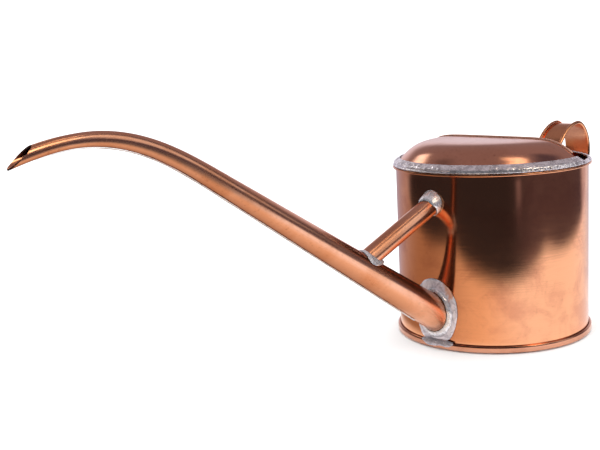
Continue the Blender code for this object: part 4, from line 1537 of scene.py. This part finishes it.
@dataclass
class Studio:
    """Floor, light and camera. Angles are degrees round the can, 0 towards the camera."""

    sizes: Sizes
    front: float = 215.5
    tent_radius: float = 1.6
    floor_size: float = 30.0
    white: float = 1.7
    camera_place: Colour = (-0.5209, -0.3716, 0.1882)
    camera_heading: float = 46.59
    camera_pitch: float = 10.353
    camera_roll: float = -0.0520
    camera_lens: float = 59.68
    room: Colour = (0.27, 0.21, 0.22)
    dark_left: Colour = (0.030, 0.028, 0.036)
    dark_right: Colour = (0.085, 0.070, 0.095)
    patches: tuple[Patch, ...] = (
        Patch((-181, 181), (-8, 7), (0.58, 0.54, 0.62), 6),
        Patch((140, 220), (-8, 22), (0.80, 0.74, 0.82), 14),
        Patch((-112, 45), (-12, 62), (0.026, 0.022, 0.028), 20),
        Patch((45, 126), (-12, 62), (0.085, 0.070, 0.095), 12),
        Patch((27, 33), (-10, 12), (0.34, 0.25, 0.23), 4),
        Patch((40, 60), (-8, 40), (0.055, 0.045, 0.055), 14),
        Patch((78, 106), (10, 54), (0.80, 0.75, 0.72), 8),
        Patch((-141, -117), (34, 44), (1.7, 1.6, 1.5), 5),
        Patch((78, 102), (67, 82), (1.9, 1.5, 1.1), 5),
        Patch((48, 74), (34, 56), (3.4, 2.9, 2.2), 6),
    )
    streak: tuple[float, float] = (30.0, 5.0)
    streak_radius: tuple[float, float] = (0.42, 0.75)
    streak_gain: float = 3.0
    dark_turn: tuple[float, float] = (15.0, 50.0)
    open_middle: float = 7.0
    open_fade: tuple[float, float] = (108.0, 120.0)
    floor_back: Colour = (0.50, 0.46, 0.55)
    floor_tones: tuple[Tone, ...] = (
        Tone((0.36, 0.24, 0.17), -140, -85),      # in the spout's shade
        Tone((0.95, 0.75, 0.58), -75, 5),         # warm beside it
        Tone((1.12, 1.12, 1.17), -15, 35),        # white in front
        Tone((0.50, 0.46, 0.55), 108, 178),       # grey again behind
    )
    table_sides: tuple[tuple[float, float], ...] = ((-58, 0.365), (10, 0.228), (80, 0.325))
    table_corner: float = 20.0
    dark_soft: float = 0.045

    def build(self) -> None:
        """Set the whole studio up."""
        self.world()
        self.floor()
        self.tent()
        self.apron()
        self.camera()
        bpy.context.scene.view_settings.view_transform = "Standard"

    def world(self) -> None:
        """Light everything evenly from a white sky."""
        world = bpy.data.worlds.new("white_sky")
        world.use_nodes = True
        node = world.node_tree.nodes["Background"]
        node.inputs["Color"].default_value = (1.0, 1.0, 1.0, 1.0)
        node.inputs["Strength"].default_value = self.white
        bpy.context.scene.world = world

    def floor(self) -> None:
        """Lay the pale floor."""
        g = Graph("pale_floor")
        node = g.add("ShaderNodeBsdfDiffuse")
        shade = g.noise(g.coordinates(), 3.0, 3.0)
        g.feed(node.inputs["Color"], g.mix((0.95, 0.95, 0.95), (0.92, 0.92, 0.92), shade))
        g.feed(g.output.inputs["Surface"], node.outputs[0])
        half = self.floor_size / 2
        corners = [Vector((x, y, -0.02 * MM)) for x, y in
                   ((-half, -half), (half, -half), (half, half), (-half, half))]
        put("floor", corners, [(0, 1, 2, 3)], None, g.material)

    def room_glow(self, azimuth: float, height: float) -> Vector:
        """Give the light that comes from a direction above the floor.

        Args:
            azimuth: Degrees round the can.
            height: Degrees above the horizon.

        Returns:
            The light's colour.
        """
        glow = Vector(self.room)
        for patch in self.patches:
            glow = glow.lerp(Vector(patch.colour), patch.share(azimuth, height))
        return glow

    def table_edge(self, azimuth: float) -> float:
        """Give the distance from the can to the edge of the table.

        The table has three straight sides with rounded corners and is open behind.

        Args:
            azimuth: Degrees round the can.

        Returns:
            The distance.
        """
        reach = sum((max(0.0, math.cos(math.radians(azimuth - heading))) / distance)
                    ** self.table_corner for heading, distance in self.table_sides)
        far = 2 * self.tent_radius
        return min(far, reach ** (-1 / self.table_corner)) if reach > 0 else far

    def floor_glow(self, azimuth: float, radius: float) -> Vector:
        """Give the light that comes from a place on the floor.

        Args:
            azimuth: Degrees round the can.
            radius: Distance from its axis.

        Returns:
            The light's colour.
        """
        tone = Vector(self.floor_back)
        for part in self.floor_tones:
            tone = tone.lerp(Vector(part.colour), ease(azimuth, part.start, part.end))
        edge = self.table_edge(azimuth)
        shade = Vector(self.dark_left).lerp(Vector(self.dark_right), ease(azimuth, *self.dark_turn))
        line = 1 - ease(abs(azimuth - self.streak[0]), 0.0, self.streak[1])
        shade *= 1 + self.streak_gain * line * ease(radius, *self.streak_radius)
        open_side = 1 - ease(abs(azimuth - self.open_middle), *self.open_fade)
        shade = self.room_glow(azimuth, 0.0).lerp(shade, open_side)
        return tone.lerp(shade, ease(radius, edge - self.dark_soft, edge + self.dark_soft))

    def painted(self, name: str, points: Sequence[Sequence[Vector]], glows: Sequence[Vector],
                covers: Sequence[float]) -> bpy.types.Object:
        """Make a glowing sheet that shows in reflections and nowhere else.

        Args:
            name: Name of the sheet.
            points: Its rows of points, each row closing on itself.
            glows: Its light at each point.
            covers: How solid it is at each point, 0 to 1.

        Returns:
            The object.
        """
        g = Graph(name + "_glow")
        paint = g.add("ShaderNodeAttribute", attribute_name="glow")
        light = g.add("ShaderNodeEmission")
        g.feed(light.inputs["Color"], paint.outputs["Color"])
        clear = g.add("ShaderNodeBsdfTransparent")
        both = g.add("ShaderNodeMixShader")
        g.feed(both.inputs[0], paint.outputs["Alpha"])
        g.feed(both.inputs[1], clear.outputs[0])
        g.feed(both.inputs[2], light.outputs[0])
        g.feed(g.output.inputs["Surface"], both.outputs[0])
        obj = loft(name, points, g.material)
        layer = obj.data.color_attributes.new("glow", "FLOAT_COLOR", "POINT")
        layer.data.foreach_set("color", [c for glow, cover in zip(glows, covers)
                                         for c in (*glow, cover)])
        obj.matrix_world = Matrix.Rotation(math.radians(self.front), 4, "Z")
        obj.visible_camera = obj.visible_diffuse = obj.visible_shadow = False
        obj.visible_transmission = obj.visible_volume_scatter = False
        return obj

    def tent(self) -> None:
        """Hang the room round the can: dark in front, pale low down, lamps above."""
        rows, glows = [], []
        steps, count = 96, 240
        low, high = -2.0, 89.8
        for i in range(steps + 1):
            height = low + (high - low) * i / steps
            up = math.radians(height)
            row = []
            for k in range(count):
                azimuth = 360 * k / count - 180
                a = math.radians(azimuth)
                row.append(Vector((math.cos(up) * math.cos(a), math.cos(up) * math.sin(a),
                                   math.sin(up))) * self.tent_radius)
                glows.append(self.room_glow(azimuth, height))
            rows.append(row)
        self.painted("light_tent", rows, glows, [1.0] * len(glows))

    def apron(self) -> None:
        """Lay the table and the dark floor of the room beyond it."""
        rows, glows, covers = [], [], []
        near, steps, count = self.sizes.rim_radius + 3 * MM, 150, 240
        lift, fade = 0.4 * MM, 20 * MM
        for i in range(steps + 1):
            radius = near + (self.tent_radius - near) * (i / steps) ** 2
            row = []
            for k in range(count):
                azimuth = 360 * k / count - 180
                a = math.radians(azimuth)
                row.append(Vector((radius * math.cos(a), radius * math.sin(a), lift)))
                glows.append(self.floor_glow(azimuth, radius))
                covers.append(ease(radius, near, near + fade))
            rows.append(row)
        self.painted("room_apron", rows, glows, covers)

    def camera(self) -> None:
        """Set the camera at the height and side from which the can is seen."""
        heading, pitch = math.radians(self.camera_heading), math.radians(self.camera_pitch)
        ahead = Vector((math.cos(heading) * math.cos(pitch), math.sin(heading) * math.cos(pitch),
                        -math.sin(pitch)))
        right = Vector((math.sin(heading), -math.cos(heading), 0.0))
        up = right.cross(ahead)
        c, s = math.cos(self.camera_roll), math.sin(self.camera_roll)
        x, y = right * c + up * s, up * c - right * s
        data = bpy.data.cameras.new("camera")
        data.lens, data.sensor_width = self.camera_lens, 36.0
        data.clip_start = 0.01
        camera = bpy.data.objects.new("camera", data)
        camera.matrix_world = Matrix((
            (x.x, y.x, -ahead.x, self.camera_place[0]), (x.y, y.y, -ahead.y, self.camera_place[1]),
            (x.z, y.z, -ahead.z, self.camera_place[2]), (0, 0, 0, 1)))
        bpy.context.scene.collection.objects.link(camera)
        bpy.context.scene.camera = camera


def main() -> None:
    """Build the looks in order."""
    logging.basicConfig(level=logging.INFO, format="%(name)s: %(message)s")
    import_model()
    sizes = Sizes()
    line = SpoutLine(sizes)
    shelf = Shelf()
    for part in (Tank(sizes, line, shelf), Hood(sizes, shelf), Spout(sizes, line, shelf),
                 Brace(sizes, line, shelf), Handle(sizes, shelf)):
        part.build()
        LOG.info("%s built, %d pieces", type(part).__name__, len(part.assembly.pieces))
    Studio(sizes).build()


if __name__ == "__main__":
    main()
